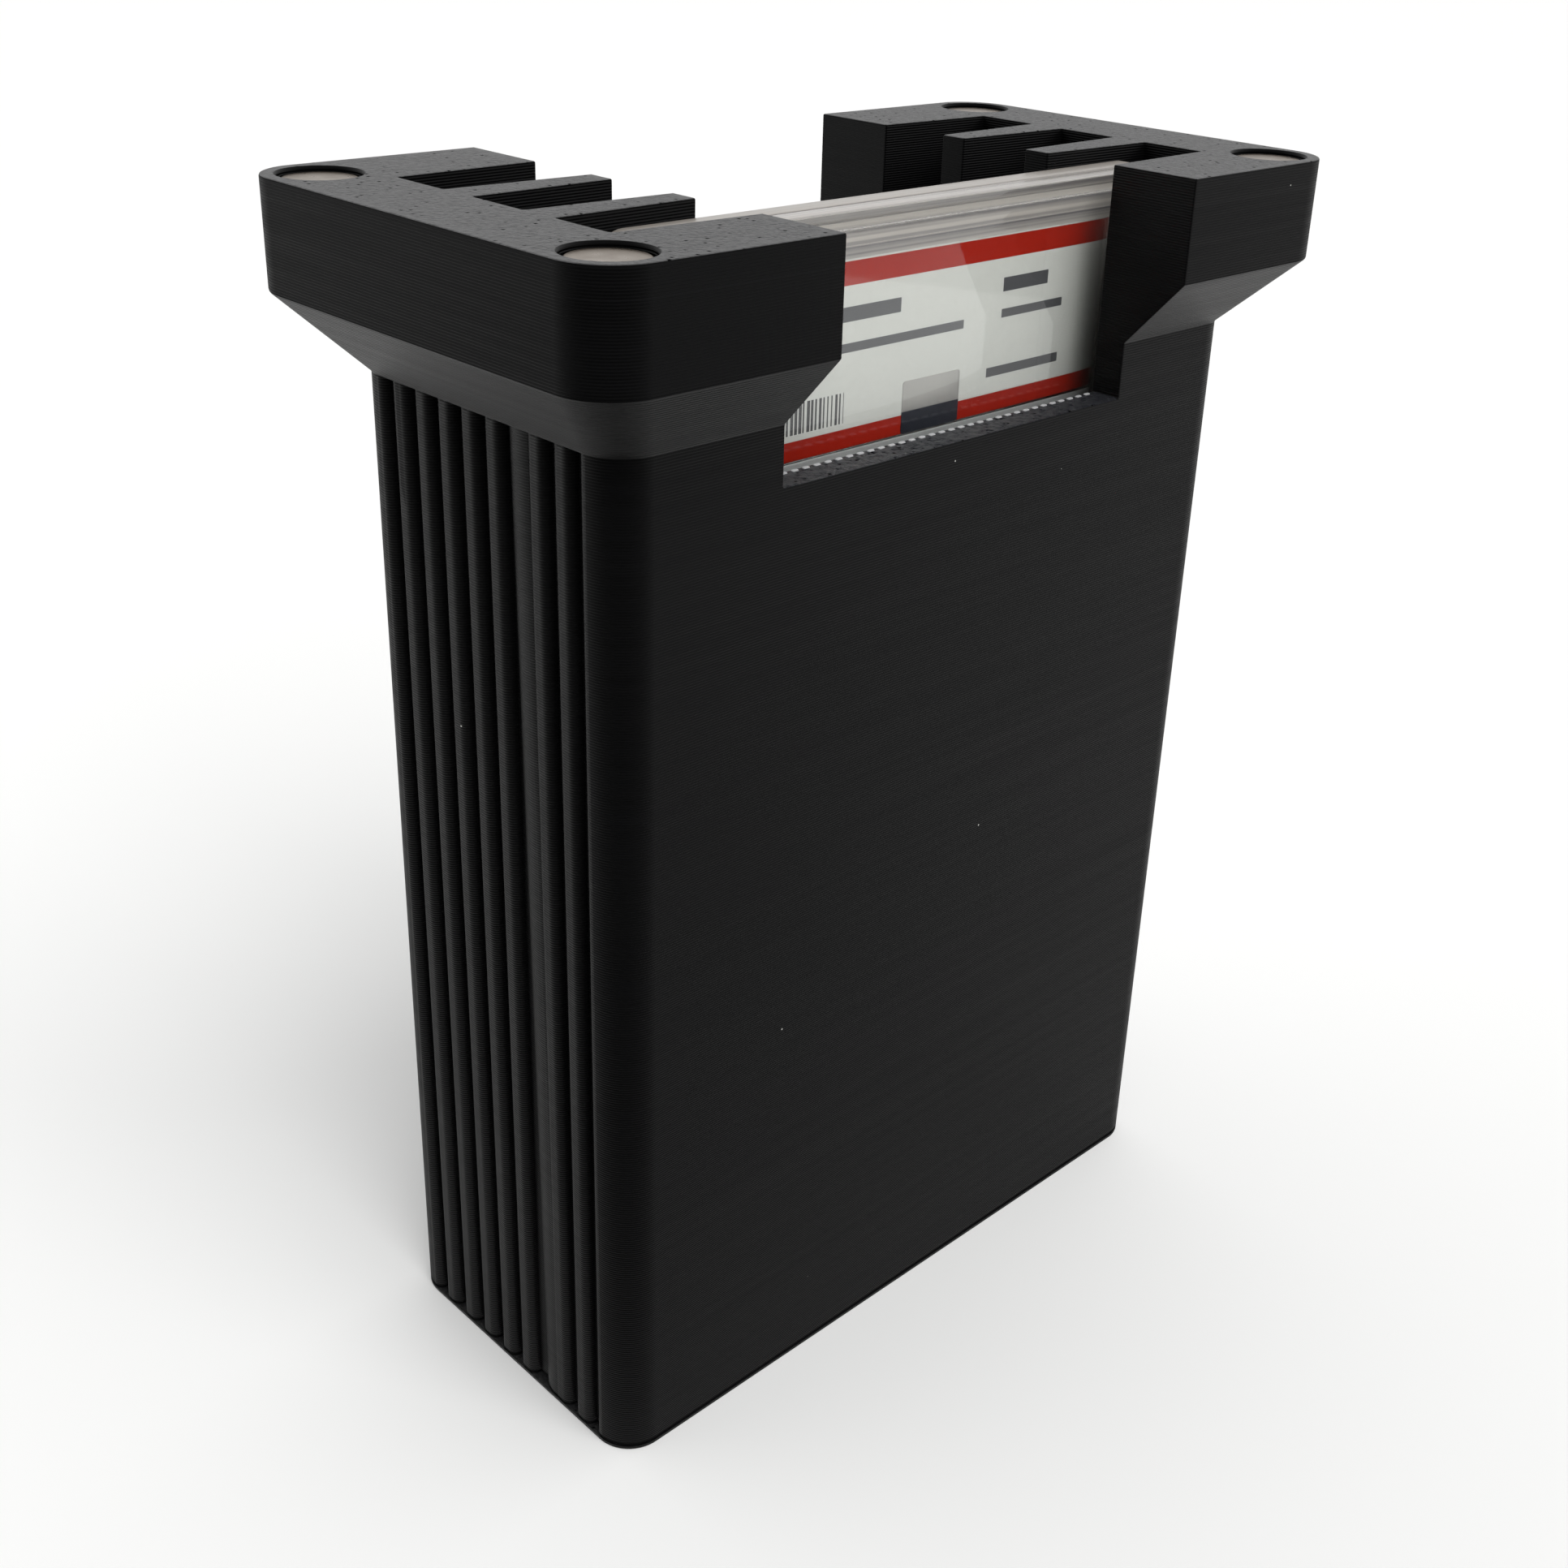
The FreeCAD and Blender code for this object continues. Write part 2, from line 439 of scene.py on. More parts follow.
@dataclass(frozen=True)
class PrintedWall:
    """Black PLA, drawn out in level layers: fine level lines, satin along them, in faint pale bands.

    The overhanging slope is laid half over air, so its lines droop and scatter more light than a wall's; its
    paler colours are also a painted reflection of the pale floor below.
    """

    name: str = "black_pla_printed_wall"
    colour: str = "#090909"
    pale_colour: str = "#0E0E0F"
    fleck_colour: str = "#B9B9B4"
    roughness: float = 0.42
    roughness_spread: float = 0.10
    specular: float = 0.105
    # The real layers are 0.2 mm high, too fine for the render, so they are drawn half as high again.
    layer_mm: float = 0.3
    layer_relief_mm: float = 0.054
    layer_wander: float = 0.2
    wander_scale: float = 0.6
    band_mm: float = 0.9
    band_length_mm: float = 60.0
    fleck_spacing_mm: float = 9.0
    fleck_mm: float = 0.11
    # The first layer over the magnet pockets' floor shows as a faint line round the flange: a real step,
    # whose paleness is a painted highlight along it.
    mark_height_mm: float = 140.0
    mark_mm: float = 0.2
    mark_highlight_strength: float = 0.5

    def material(self) -> bpy.types.Material:
        """Make the node material.

        Returns:
            The finished material.
        """
        material, tree, place = start_material(self.name)
        lines = add_node(
            tree,
            "TexWave",
            {
                "Vector": place,
                "Scale": WAVE_UNIT / mm(self.layer_mm),
                "Distortion": self.layer_wander,
                "Detail": SOFT_DETAIL,
                "Detail Scale": self.wander_scale,
            },
            bands_direction="Z",
        )
        level = repeats(self.band_length_mm)
        stretch = (level, level, repeats(self.band_mm))
        stretched = add_node(tree, "Mapping", {"Vector": place, "Scale": stretch})
        bands = add_node(
            tree, "TexNoise", {"Vector": stretched.outputs[0], "Scale": 1.0, "Detail": MIDDLE_DETAIL}
        )
        cells = add_node(tree, "TexVoronoi", {"Vector": place, "Scale": repeats(self.fleck_spacing_mm)})
        fleck = add_node(
            tree,
            "Math",
            {0: cells.outputs["Distance"], 1: self.fleck_mm / self.fleck_spacing_mm},
            operation="LESS_THAN",
        )
        height = add_node(tree, "SeparateXYZ", {0: place}).outputs["Z"]
        mark = add_node(
            tree,
            "Math",
            {0: height, 1: mm(self.mark_height_mm), 2: mm(self.mark_mm / 2)},
            operation="COMPARE",
        )
        # Random pale bands in the plastic, plus the painted highlight of the mark.
        paleness_and_highlight = add_node(
            tree,
            "Math",
            {0: mark.outputs[0], 1: self.mark_highlight_strength, 2: bands.outputs[0]},
            operation="MULTIPLY_ADD",
        )
        plastic = add_node(
            tree,
            "Mix",
            {"Factor": paleness_and_highlight.outputs[0], "A": linear(self.colour), "B": linear(self.pale_colour)},
            data_type="RGBA",
            clamp_factor=False,
        )
        colour = add_node(
            tree,
            "Mix",
            {"Factor": fleck.outputs[0], "A": plastic.outputs["Result"], "B": linear(self.fleck_colour)},
            data_type="RGBA",
        )
        roughness = add_node(
            tree,
            "MapRange",
            {
                "Value": bands.outputs[0],
                "To Min": self.roughness - self.roughness_spread,
                "To Max": self.roughness + self.roughness_spread,
            },
        )
        relief = add_node(
            tree, "Bump", {"Height": lines.outputs["Fac"], "Distance": mm(self.layer_relief_mm)}
        )
        look = {
            "Base Color": colour.outputs["Result"],
            "Roughness": roughness.outputs[0],
            "Specular IOR Level": self.specular,
            "Normal": relief.outputs[0],
        }
        return end_material(material, look)


@dataclass(frozen=True)
class PrintedTop:
    """The top skin of black PLA: a stippled face with small pits; its grey is a painted sheen of the light
    that the stipple scatters, and the pits are painted dark as shade.

    The outermost loops are laid along the edges, so a narrow border is smoother than the rest.
    """

    name: str = "black_pla_printed_top"
    # The grey colour is a painted sheen over black plastic, and the pits' near black is painted shade.
    colour: str = "#242425"
    pit_shade_colour: str = "#030303"
    roughness: float = 0.48
    dull_specular: float = 0.4
    bright_specular: float = 1.0
    # The real grain is about 0.4 mm wide, too fine for the render, so it is drawn half as wide again.
    stipple_mm: float = 0.6
    stipple_relief_mm: float = 0.25
    stipple_sharpness: float = 0.6
    loop_mm: float = 1.2
    loop_fade: float = 0.2
    loop_stipple_share: float = 0.35
    pit_spacing_mm: float = 1.6
    pit_mm: float = 0.28
    pit_floor_share: float = 0.4
    pit_depth_mm: float = 0.25

    def material(self, half_size: Vector, corner: float, opening: float) -> bpy.types.Material:
        """Make the node material for the top of a flange.

        Args:
            half_size: Half the flange's length and depth.
            corner: The radius of its corners.
            opening: Half the width of the window between its halves, or less than nothing for no window.

        Returns:
            The finished material.
        """
        material, tree, place = start_material(self.name)
        stipple = add_node(
            tree,
            "TexNoise",
            {
                "Vector": place,
                "Scale": repeats(self.stipple_mm),
                "Detail": MIDDLE_DETAIL,
                "Roughness": self.stipple_sharpness,
            },
        )
        cells = add_node(tree, "TexVoronoi", {"Vector": place, "Scale": repeats(self.pit_spacing_mm)})
        pit_edge = self.pit_mm / self.pit_spacing_mm
        pit = add_node(
            tree,
            "MapRange",
            {
                "Value": cells.outputs["Distance"],
                "From Min": self.pit_floor_share * pit_edge,
                "From Max": pit_edge,
                "To Min": 1.0,
                "To Max": 0.0,
            },
        )
        colour = add_node(
            tree,
            "Mix",
            {"Factor": pit.outputs[0], "A": linear(self.colour), "B": linear(self.pit_shade_colour)},
            data_type="RGBA",
        )
        share = add_node(
            tree,
            "MapRange",
            {
                "Value": self.from_edge(tree, place, half_size, corner, opening),
                "From Min": (1 - self.loop_fade) * mm(self.loop_mm),
                "From Max": (1 + self.loop_fade) * mm(self.loop_mm),
                "To Min": self.loop_stipple_share,
                "To Max": 1.0,
            },
        )
        grain = add_node(
            tree,
            "Bump",
            {
                "Height": stipple.outputs[0],
                "Distance": mm(self.stipple_relief_mm),
                "Strength": share.outputs[0],
            },
        )
        relief = add_node(
            tree,
            "Bump",
            {"Height": pit.outputs[0], "Distance": mm(self.pit_depth_mm), "Normal": grain.outputs[0]},
            invert=True,
        )
        solid = add_node(tree, "Math", {0: 1.0, 1: pit.outputs[0]}, operation="SUBTRACT")
        shine = add_node(
            tree,
            "MapRange",
            {
                "Value": stipple.outputs[0],
                "From Min": NOISE_LOW,
                "From Max": NOISE_HIGH,
                "To Min": self.dull_specular,
                "To Max": self.bright_specular,
            },
        )
        gloss = add_node(tree, "Math", {0: shine.outputs[0], 1: solid.outputs[0]}, operation="MULTIPLY")
        look = {
            "Base Color": colour.outputs["Result"],
            "Roughness": self.roughness,
            "Specular IOR Level": gloss.outputs[0],
            "Normal": relief.outputs[0],
        }
        return end_material(material, look)

    def from_edge(
        self,
        tree: bpy.types.NodeTree,
        place: bpy.types.NodeSocket,
        half_size: Vector,
        corner: float,
        opening: float,
    ) -> bpy.types.NodeSocket:
        """Measure how far a point lies from the flange's outline and from the window's sides.

        Args:
            tree: The node tree.
            place: The point.
            half_size: Half the flange's length and depth.
            corner: The radius of its corners.
            opening: Half the width of the window between its halves.

        Returns:
            A socket with the lesser distance, in metres.
        """
        folded = add_node(tree, "VectorMath", {0: place}, operation="ABSOLUTE")
        core = half_size - Vector((corner, corner, 0.0))
        beyond = add_node(tree, "VectorMath", {0: folded.outputs[0], 1: core}, operation="SUBTRACT")
        level = add_node(tree, "VectorMath", {0: beyond.outputs[0], 1: (1.0, 1.0, 0.0)}, operation="MULTIPLY")
        outer = add_node(tree, "VectorMath", {0: level.outputs[0], 1: (0.0, 0.0, 0.0)}, operation="MAXIMUM")
        length = add_node(tree, "VectorMath", {0: outer.outputs[0]}, operation="LENGTH").outputs["Value"]
        sides = add_node(tree, "SeparateXYZ", {0: level.outputs[0]})
        nearer = add_node(tree, "Math", {0: sides.outputs["X"], 1: sides.outputs["Y"]}, operation="MAXIMUM")
        inner = add_node(tree, "Math", {0: nearer.outputs[0], 1: 0.0}, operation="MINIMUM")
        past_core = add_node(tree, "Math", {0: length, 1: inner.outputs[0]}, operation="ADD")
        to_outline = add_node(tree, "Math", {0: corner, 1: past_core.outputs[0]}, operation="SUBTRACT")
        across = add_node(tree, "SeparateXYZ", {0: folded.outputs[0]}).outputs["X"]
        to_window = add_node(tree, "Math", {0: across, 1: opening}, operation="SUBTRACT")
        return add_node(
            tree, "Math", {0: to_outline.outputs[0], 1: to_window.outputs[0]}, operation="MINIMUM"
        ).outputs[0]


@dataclass(frozen=True)
class NickelPlate:
    """Nickel plating, barrel finished: a warm satin metal with fine scratches that blur its reflections."""

    name: str = "nickel_barrel_plated"
    # The warm beige is partly nickel's own tone and partly a painted reflection of a beige ceiling.
    colour: str = "#837564"
    dull_colour: str = "#706253"
    roughness: float = 0.3
    roughness_spread: float = 0.08
    cloud_mm: float = 1.6
    grain_mm: float = 0.18
    grain_relief_mm: float = 0.003

    def material(self) -> bpy.types.Material:
        """Make the node material.

        Returns:
            The finished material.
        """
        material, tree, place = start_material(self.name)
        cloud, grain = [
            add_node(tree, "TexNoise", {"Vector": place, "Scale": repeats(size), "Detail": detail})
            for size, detail in ((self.cloud_mm, FINE_DETAIL), (self.grain_mm, SOFT_DETAIL))
        ]
        colour = add_node(
            tree,
            "Mix",
            {"Factor": cloud.outputs[0], "A": linear(self.colour), "B": linear(self.dull_colour)},
            data_type="RGBA",
        )
        roughness = add_node(
            tree,
            "MapRange",
            {
                "Value": cloud.outputs[0],
                "To Min": self.roughness - self.roughness_spread,
                "To Max": self.roughness + self.roughness_spread,
            },
        )
        relief = add_node(tree, "Bump", {"Height": grain.outputs[0], "Distance": mm(self.grain_relief_mm)})
        look = {
            "Base Color": colour.outputs["Result"],
            "Metallic": 1.0,
            "Roughness": roughness.outputs[0],
            "Normal": relief.outputs[0],
        }
        return end_material(material, look)


@dataclass(frozen=True)
class ClearStyrene:
    """Clear polystyrene, moulded: glossy faces, and a haze of long soft streaks where it was welded."""

    name: str = "clear_styrene_moulded"
    colour: str = "#F7F9F9"
    streak_colour: str = "#F7F9F9"
    roughness: float = 0.03
    transmission: float = 1.0
    index: float = 1.5
    streak_mm: float = 6.0
    streak_length_mm: float = 40.0
    streak_relief_mm: float = 0.002

    def material(self) -> bpy.types.Material:
        """Make the node material.

        Returns:
            The finished material.
        """
        material, tree, place = start_material(self.name)
        along = repeats(self.streak_length_mm)
        across = repeats(self.streak_mm)
        stretched = add_node(tree, "Mapping", {"Vector": place, "Scale": (along, across, across)})
        streaks = add_node(
            tree, "TexNoise", {"Vector": stretched.outputs[0], "Scale": 1.0, "Detail": SOFT_DETAIL}
        )
        share = add_node(
            tree,
            "MapRange",
            {"Value": streaks.outputs[0], "From Min": NOISE_LOW, "From Max": NOISE_HIGH},
        )
        colour = add_node(
            tree,
            "Mix",
            {"Factor": share.outputs[0], "A": linear(self.colour), "B": linear(self.streak_colour)},
            data_type="RGBA",
        )
        relief = add_node(tree, "Bump", {"Height": streaks.outputs[0], "Distance": mm(self.streak_relief_mm)})
        look = {
            "Base Color": colour.outputs["Result"],
            "Roughness": self.roughness,
            "IOR": self.index,
            "Transmission Weight": self.transmission,
            "Normal": relief.outputs[0],
        }
        return end_material(material, look)


@dataclass(frozen=True)
class Band:
    """An upright rectangle of ink, in millimetres from the label's middle and its lower edge."""

    left: float
    right: float
    base: float
    top: float

    def mask(
        self, tree: bpy.types.NodeTree, across: bpy.types.NodeSocket, up: bpy.types.NodeSocket
    ) -> bpy.types.NodeSocket:
        """Build the band's mask.

        Args:
            tree: The node tree.
            across: How far a point lies to the right of the label's middle, in metres.
            up: How far it lies above the label's lower edge, in metres.

        Returns:
            A socket that is 1 inside the band and 0 outside it.
        """
        near = []
        for socket, start, end in ((across, self.left, self.right), (up, self.base, self.top)):
            span = {0: socket, 1: mm((start + end) / 2), 2: mm((end - start) / 2)}
            near.append(add_node(tree, "Math", span, operation="COMPARE").outputs[0])
        return add_node(tree, "Math", {0: near[0], 1: near[1]}, operation="MULTIPLY").outputs[0]


@dataclass(frozen=True)
class LabelPaper:
    """Coated paper, printed: a cool white sheet with red bands, a field of bars and grey blank lines."""

    name: str = "coated_paper_printed"
    colour: str = "#C3C3BD"
    shade_colour: str = "#BABAB4"
    red: str = "#941A0A"
    ink: str = "#2B2B2D"
    grey: str = "#4A4A4C"
    roughness: float = 0.6
    specular: float = 0.15
    fibre_mm: float = 0.6
    fibre_relief_mm: float = 0.004
    bar_mm: float = 0.6
    bar_share: float = 0.3
    bar_spread: float = 0.5
    bands: tuple[Band, ...] = (Band(-34.7, 34.7, 17.75, 20.3), Band(-34.7, 34.7, -0.1, 2.2))
    bars: tuple[Band, ...] = (Band(-27.0, -11.3, 2.9, 6.3),)
    lines: tuple[Band, ...] = (
        Band(-24.0, -3.0, 13.9, 15.5),
        Band(-24.0, 7.5, 10.6, 11.6),
        Band(14.0, 22.0, 13.9, 15.5),
        Band(14.0, 25.0, 10.9, 11.9),
        Band(12.0, 25.0, 4.2, 5.3),
    )

    def material(self, low: Vector, high: Vector) -> bpy.types.Material:
        """Make the node material for a label in this box.

        Args:
            low: The label's lowest corner.
            high: The label's highest corner.

        Returns:
            The finished material.
        """
        material, tree, place = start_material(self.name)
        origin = Vector(((low.x + high.x) / 2, 0.0, low.z))
        from_edge = add_node(tree, "VectorMath", {0: place, 1: origin}, operation="SUBTRACT")
        apart = add_node(tree, "SeparateXYZ", {0: from_edge.outputs[0]})
        across = apart.outputs["X"]
        up = apart.outputs["Z"]
        inks = [(band.mask(tree, across, up), self.red) for band in self.bands]
        inks += [(line.mask(tree, across, up), self.grey) for line in self.lines]
        column = add_node(tree, "Math", {0: across, 1: repeats(self.bar_mm)}, operation="MULTIPLY")
        step = add_node(tree, "Math", {0: column.outputs[0]}, operation="FLOOR")
        width = add_node(tree, "TexWhiteNoise", {"W": step.outputs[0]}, noise_dimensions="1D")
        part = add_node(tree, "Math", {0: column.outputs[0]}, operation="FRACT")
        share = add_node(
            tree,
            "Math",
            {0: width.outputs["Value"], 1: self.bar_spread, 2: self.bar_share},
            operation="MULTIPLY_ADD",
        )
        bar = add_node(tree, "Math", {0: part.outputs[0], 1: share.outputs[0]}, operation="LESS_THAN")
        for area in self.bars:
            both = {0: bar.outputs[0], 1: area.mask(tree, across, up)}
            inks.append((add_node(tree, "Math", both, operation="MULTIPLY").outputs[0], self.ink))
        fibre = add_node(
            tree, "TexNoise", {"Vector": place, "Scale": repeats(self.fibre_mm), "Detail": FINE_DETAIL}
        )
        sheet = add_node(
            tree,
            "Mix",
            {"Factor": fibre.outputs[0], "A": linear(self.colour), "B": linear(self.shade_colour)},
            data_type="RGBA",
        )
        colour = sheet.outputs["Result"]
        for mask, ink in inks:
            layers = {"Factor": mask, "A": colour, "B": linear(ink)}
            colour = add_node(tree, "Mix", layers, data_type="RGBA").outputs["Result"]
        relief = add_node(tree, "Bump", {"Height": fibre.outputs[0], "Distance": mm(self.fibre_relief_mm)})
        look = {
            "Base Color": colour,
            "Roughness": self.roughness,
            "Specular IOR Level": self.specular,
            "Normal": relief.outputs[0],
        }
        return end_material(material, look)


@dataclass(frozen=True)
class SealFoil:
    """Metallised polyester film, embossed: dull grey silver in a fine lozenge relief, dark low down."""

    name: str = "metallised_film_embossed"
    colour: str = "#A5A29D"
    dark_colour: str = "#3E4049"
    metallic: float = 0.6
    roughness: float = 0.32
    lozenge_mm: float = 1.1
    lozenge_relief_mm: float = 0.02
    relief_strength: float = 0.6
    dark_share: float = 0.42

    def material(self, low: Vector, high: Vector) -> bpy.types.Material:
        """Make the node material for a seal in this box.

        Args:
            low: The seal's lowest corner.
            high: The seal's highest corner.

        Returns:
            The finished material.
        """
        material, tree, place = start_material(self.name)
        height = add_node(tree, "SeparateXYZ", {0: place}).outputs["Z"]
        edge = low.z + self.dark_share * (high.z - low.z)
        dark = add_node(tree, "Math", {0: height, 1: edge}, operation="LESS_THAN")
        turned = add_node(tree, "Mapping", {"Vector": place, "Rotation": (0.0, LOZENGE_TURN, 0.0)})
        lozenges = add_node(
            tree, "TexChecker", {"Vector": turned.outputs[0], "Scale": repeats(self.lozenge_mm)}
        )
        silver = add_node(
            tree,
            "Mix",
            {"Factor": dark.outputs[0], "A": linear(self.colour), "B": linear(self.dark_colour)},
            data_type="RGBA",
        )
        relief = add_node(
            tree,
            "Bump",
            {
                "Height": lozenges.outputs["Fac"],
                "Distance": mm(self.lozenge_relief_mm),
                "Strength": self.relief_strength,
            },
        )
        look = {
            "Base Color": silver.outputs["Result"],
            "Metallic": self.metallic,
            "Roughness": self.roughness,
            "Normal": relief.outputs[0],
        }
        return end_material(material, look)


@dataclass(frozen=True)
class CardStock:
    """Coated card, printed: a cream border round a blue lozenge lattice, under a thin satin varnish."""

    name: str = "coated_card_printed"
    border: str = "#E4E0D2"
    ground: str = "#2E5F86"
    lattice: str = "#BFD3DC"
    border_mm: float = 3.2
    lozenge_mm: float = 5.6
    rule_share: float = 0.1
    roughness: float = 0.35
    varnish: float = 0.3
    varnish_roughness: float = 0.15

    def material(self, low: Vector, high: Vector) -> bpy.types.Material:
        """Make the node material for a card in this box.

        Args:
            low: The card's lowest corner.
            high: The card's highest corner.

        Returns:
            The finished material.
        """
        material, tree, place = start_material(self.name)
        centred = add_node(tree, "VectorMath", {0: place, 1: (low + high) / 2}, operation="SUBTRACT")
        turned = add_node(
            tree, "Mapping", {"Vector": centred.outputs[0], "Rotation": (0.0, LOZENGE_TURN, 0.0)}
        )
        sides = add_node(tree, "SeparateXYZ", {0: turned.outputs[0]})
        apart = add_node(tree, "SeparateXYZ", {0: centred.outputs[0]})
        inner = (high - low) / 2 - Vector((mm(self.border_mm),) * 3)
        rules = []
        near = []
        for socket, half in (("X", inner.x), ("Z", inner.z)):
            steps = {0: sides.outputs[socket], 1: repeats(self.lozenge_mm)}
            count = add_node(tree, "Math", steps, operation="MULTIPLY")
            part = add_node(tree, "Math", {0: count.outputs[0]}, operation="FRACT")
            rule = add_node(tree, "Math", {0: part.outputs[0], 1: self.rule_share}, operation="LESS_THAN")
            rules.append(rule.outputs[0])
            span = {0: apart.outputs[socket], 1: 0.0, 2: half}
            near.append(add_node(tree, "Math", span, operation="COMPARE").outputs[0])
        lattice = add_node(tree, "Math", {0: rules[0], 1: rules[1]}, operation="MAXIMUM")
        within = add_node(tree, "Math", {0: near[0], 1: near[1]}, operation="MULTIPLY")
        pattern = add_node(
            tree,
            "Mix",
            {"Factor": lattice.outputs[0], "A": linear(self.ground), "B": linear(self.lattice)},
            data_type="RGBA",
        )
        colour = add_node(
            tree,
            "Mix",
            {"Factor": within.outputs[0], "A": linear(self.border), "B": pattern.outputs["Result"]},
            data_type="RGBA",
        )
        look = {
            "Base Color": colour.outputs["Result"],
            "Roughness": self.roughness,
            "Coat Weight": self.varnish,
            "Coat Roughness": self.varnish_roughness,
        }
        return end_material(material, look)


@dataclass(frozen=True)
class MattSheet:
    """A dull sheet, painted board or needled felt: one even colour with hardly any shine."""

    name: str
    colour: str
    roughness: float
    specular: float

    def material(self) -> bpy.types.Material:
        """Make the node material.

        Returns:
            The finished material.
        """
        look = {
            "Base Color": linear(self.colour),
            "Roughness": self.roughness,
            "Specular IOR Level": self.specular,
        }
        return end_material(start_material(self.name)[0], look)


@dataclass
class PrintedCrate:
    """The crate, printed in one piece: body, slope, flange, slots, windows, reeds and magnet pockets."""

    overhang: float = mm(7.5)
    body_corner: float = mm(4.8)
    flange_corner: float = mm(6.0)
    flange_face: float = mm(11.8)
    slope_height: float = mm(8.1)
    floor: float = mm(5.0)
    slot_length: float = mm(90.0)
    slot_root: float = mm(8.3)
    slot_mouth: float = mm(9.7)
    slot_pitch: float = mm(13.2)
    slot_count: int = 3
    window_width: float = mm(54.4)
    sill: float = mm(116.5)
    reed_pitch: float = mm(4.1)
    reed_width: float = mm(2.9)
    reed_edge: float = mm(1.1)
    reed_end: float = mm(17.9)
    rear_reeds: int = 6
    front_reeds: int = 3
    valley_depth: float = mm(1.2)
    wide_reed_radius: float = mm(4.0)
    wide_reed_setback: float = mm(0.05)
    wide_reed_head: float = mm(-7.1)
    wide_reed_foot: float = mm(-8.4)
    plinth: float = mm(0.6)
    # The print head turns at the sill's inner edge, and each turn leaves a small raised dash.
    dash_size: Vector = field(default_factory=lambda: Vector((mm(0.9), mm(0.5), mm(0.36))))
    dash_rise: float = mm(0.16)
    dash_pitch: float = mm(1.6)
    dash_count: int = 33
    dash_round_share: float = 0.45
    pocket_radius: float = mm(4.4)
    pocket_depth: float = mm(3.0)
    edge_round: float = mm(0.2)
    overrun: float = mm(2.0)
    corner_segments: int = 16
    edge_segments: int = 2
    reed_segments: int = 10
    dash_segments: int = 3
    wide_reed_sides: int = 128
    pocket_sides: int = 72
    low: Vector = field(default_factory=lambda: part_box("crate_body")[0])
    high: Vector = field(default_factory=lambda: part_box("crate_body")[1])
    wall_finish: PrintedWall = PrintedWall()
    # The reeds' round faces shine more than a flat wall, and the flange's face less.
    reed_finish: PrintedWall = PrintedWall(name="black_pla_printed_reeds", specular=0.25)
    flange_finish: PrintedWall = PrintedWall(name="black_pla_printed_flange", specular=0.07)
    # The slope's paler colours are a painted reflection of the pale floor that it looks down on.
    slope_finish: PrintedWall = PrintedWall(
        name="black_pla_printed_overhang",
        colour="#101010",
        pale_colour="#181818",
        roughness=0.5,
        specular=0.75,
    )
    # A thread that is drawn thin turns pale; the dashes' pale colour is partly that and partly a painted
    # highlight.
    dash_finish: PrintedWall = PrintedWall(
        name="black_pla_drawn_thin_painted_highlight", colour="#A2A2A3", pale_colour="#BEBEBF", roughness=0.5
    )
    top_finish: PrintedTop = PrintedTop()
    # The sill is seen at a flat angle, so its grain is drawn twice as wide as the real one, and its bluish
    # grey is a painted sheen, as on the top.
    sill_finish: PrintedTop = PrintedTop(
        name="black_pla_printed_sill",
        colour="#242529",
        dull_specular=0.0,
        bright_specular=0.8,
        stipple_mm=0.8,
    )

    @property
    def flange_foot(self) -> float:
        """The height where the slope ends and the flange's upright face starts."""
        return self.high.z - self.flange_face

    @property
    def slope_foot(self) -> float:
        """The height where the walls end and the slope starts."""
        return self.flange_foot - self.slope_height

    @property
    def cut_top(self) -> float:
        """The height that the cutters of the openings reach."""
        return self.high.z + self.overrun

    @property
    def half_window(self) -> float:
        """Half the width of a window, which is also where the tooth tips end."""
        return self.window_width / 2

    @property
    def half_span(self) -> float:
        """Half the depth of the open middle, from the front slot's outer face to the rear slot's."""
        return ((self.slot_count - 1) * self.slot_pitch + self.slot_mouth) / 2

    def build(self) -> list[bpy.types.Object]:
        """Model the crate and dress it.

        Returns:
            The finished piece.
        """
        crate = self.outside()
        for cutter in (self.slots(), self.open_middle(), self.windows()):
            cut(crate, cutter)
        soften(crate, self.edge_round, self.edge_segments)
        for cutter in (self.pockets(), self.valleys()):
            cut(crate, cutter)
        close_up(crate)
        self.dress(crate)
        join(crate, self.dashes())
        level_shading(crate)
        hand_over(crate, Body.CRATE, "crate_body")
        return [crate]

    def outside(self) -> bpy.types.Object:
        """Model the body and the flange, and bridge them with the slope.

        Returns:
            The crate's outside as one closed mesh.
        """
        inset = Vector((self.overhang, self.overhang, 0.0))
        body_high = self.high - inset
        body = block("printed_crate", self.low + inset, Vector((body_high.x, body_high.y, self.slope_foot)))
        round_edges(body, Axis.Z, self.body_corner, self.corner_segments)
        flange = block("flange", Vector((self.low.x, self.low.y, self.flange_foot)), self.high)
        round_edges(flange, Axis.Z, self.flange_corner, self.corner_segments)
        for piece, level in ((body, self.slope_foot), (flange, self.flange_foot)):
            with editing(piece):
                select_faces(
                    piece,
                    lambda middle, normal: abs(normal.z) > FACING and abs(middle.z - level) < NEAR,
                )
                bpy.ops.mesh.delete(type="ONLY_FACE")
        join(body, flange)
        with editing(body):
            bpy.ops.mesh.select_mode(type="EDGE")
            bpy.ops.mesh.select_non_manifold()
            bpy.ops.mesh.bridge_edge_loops()
        close_up(body)
        return body

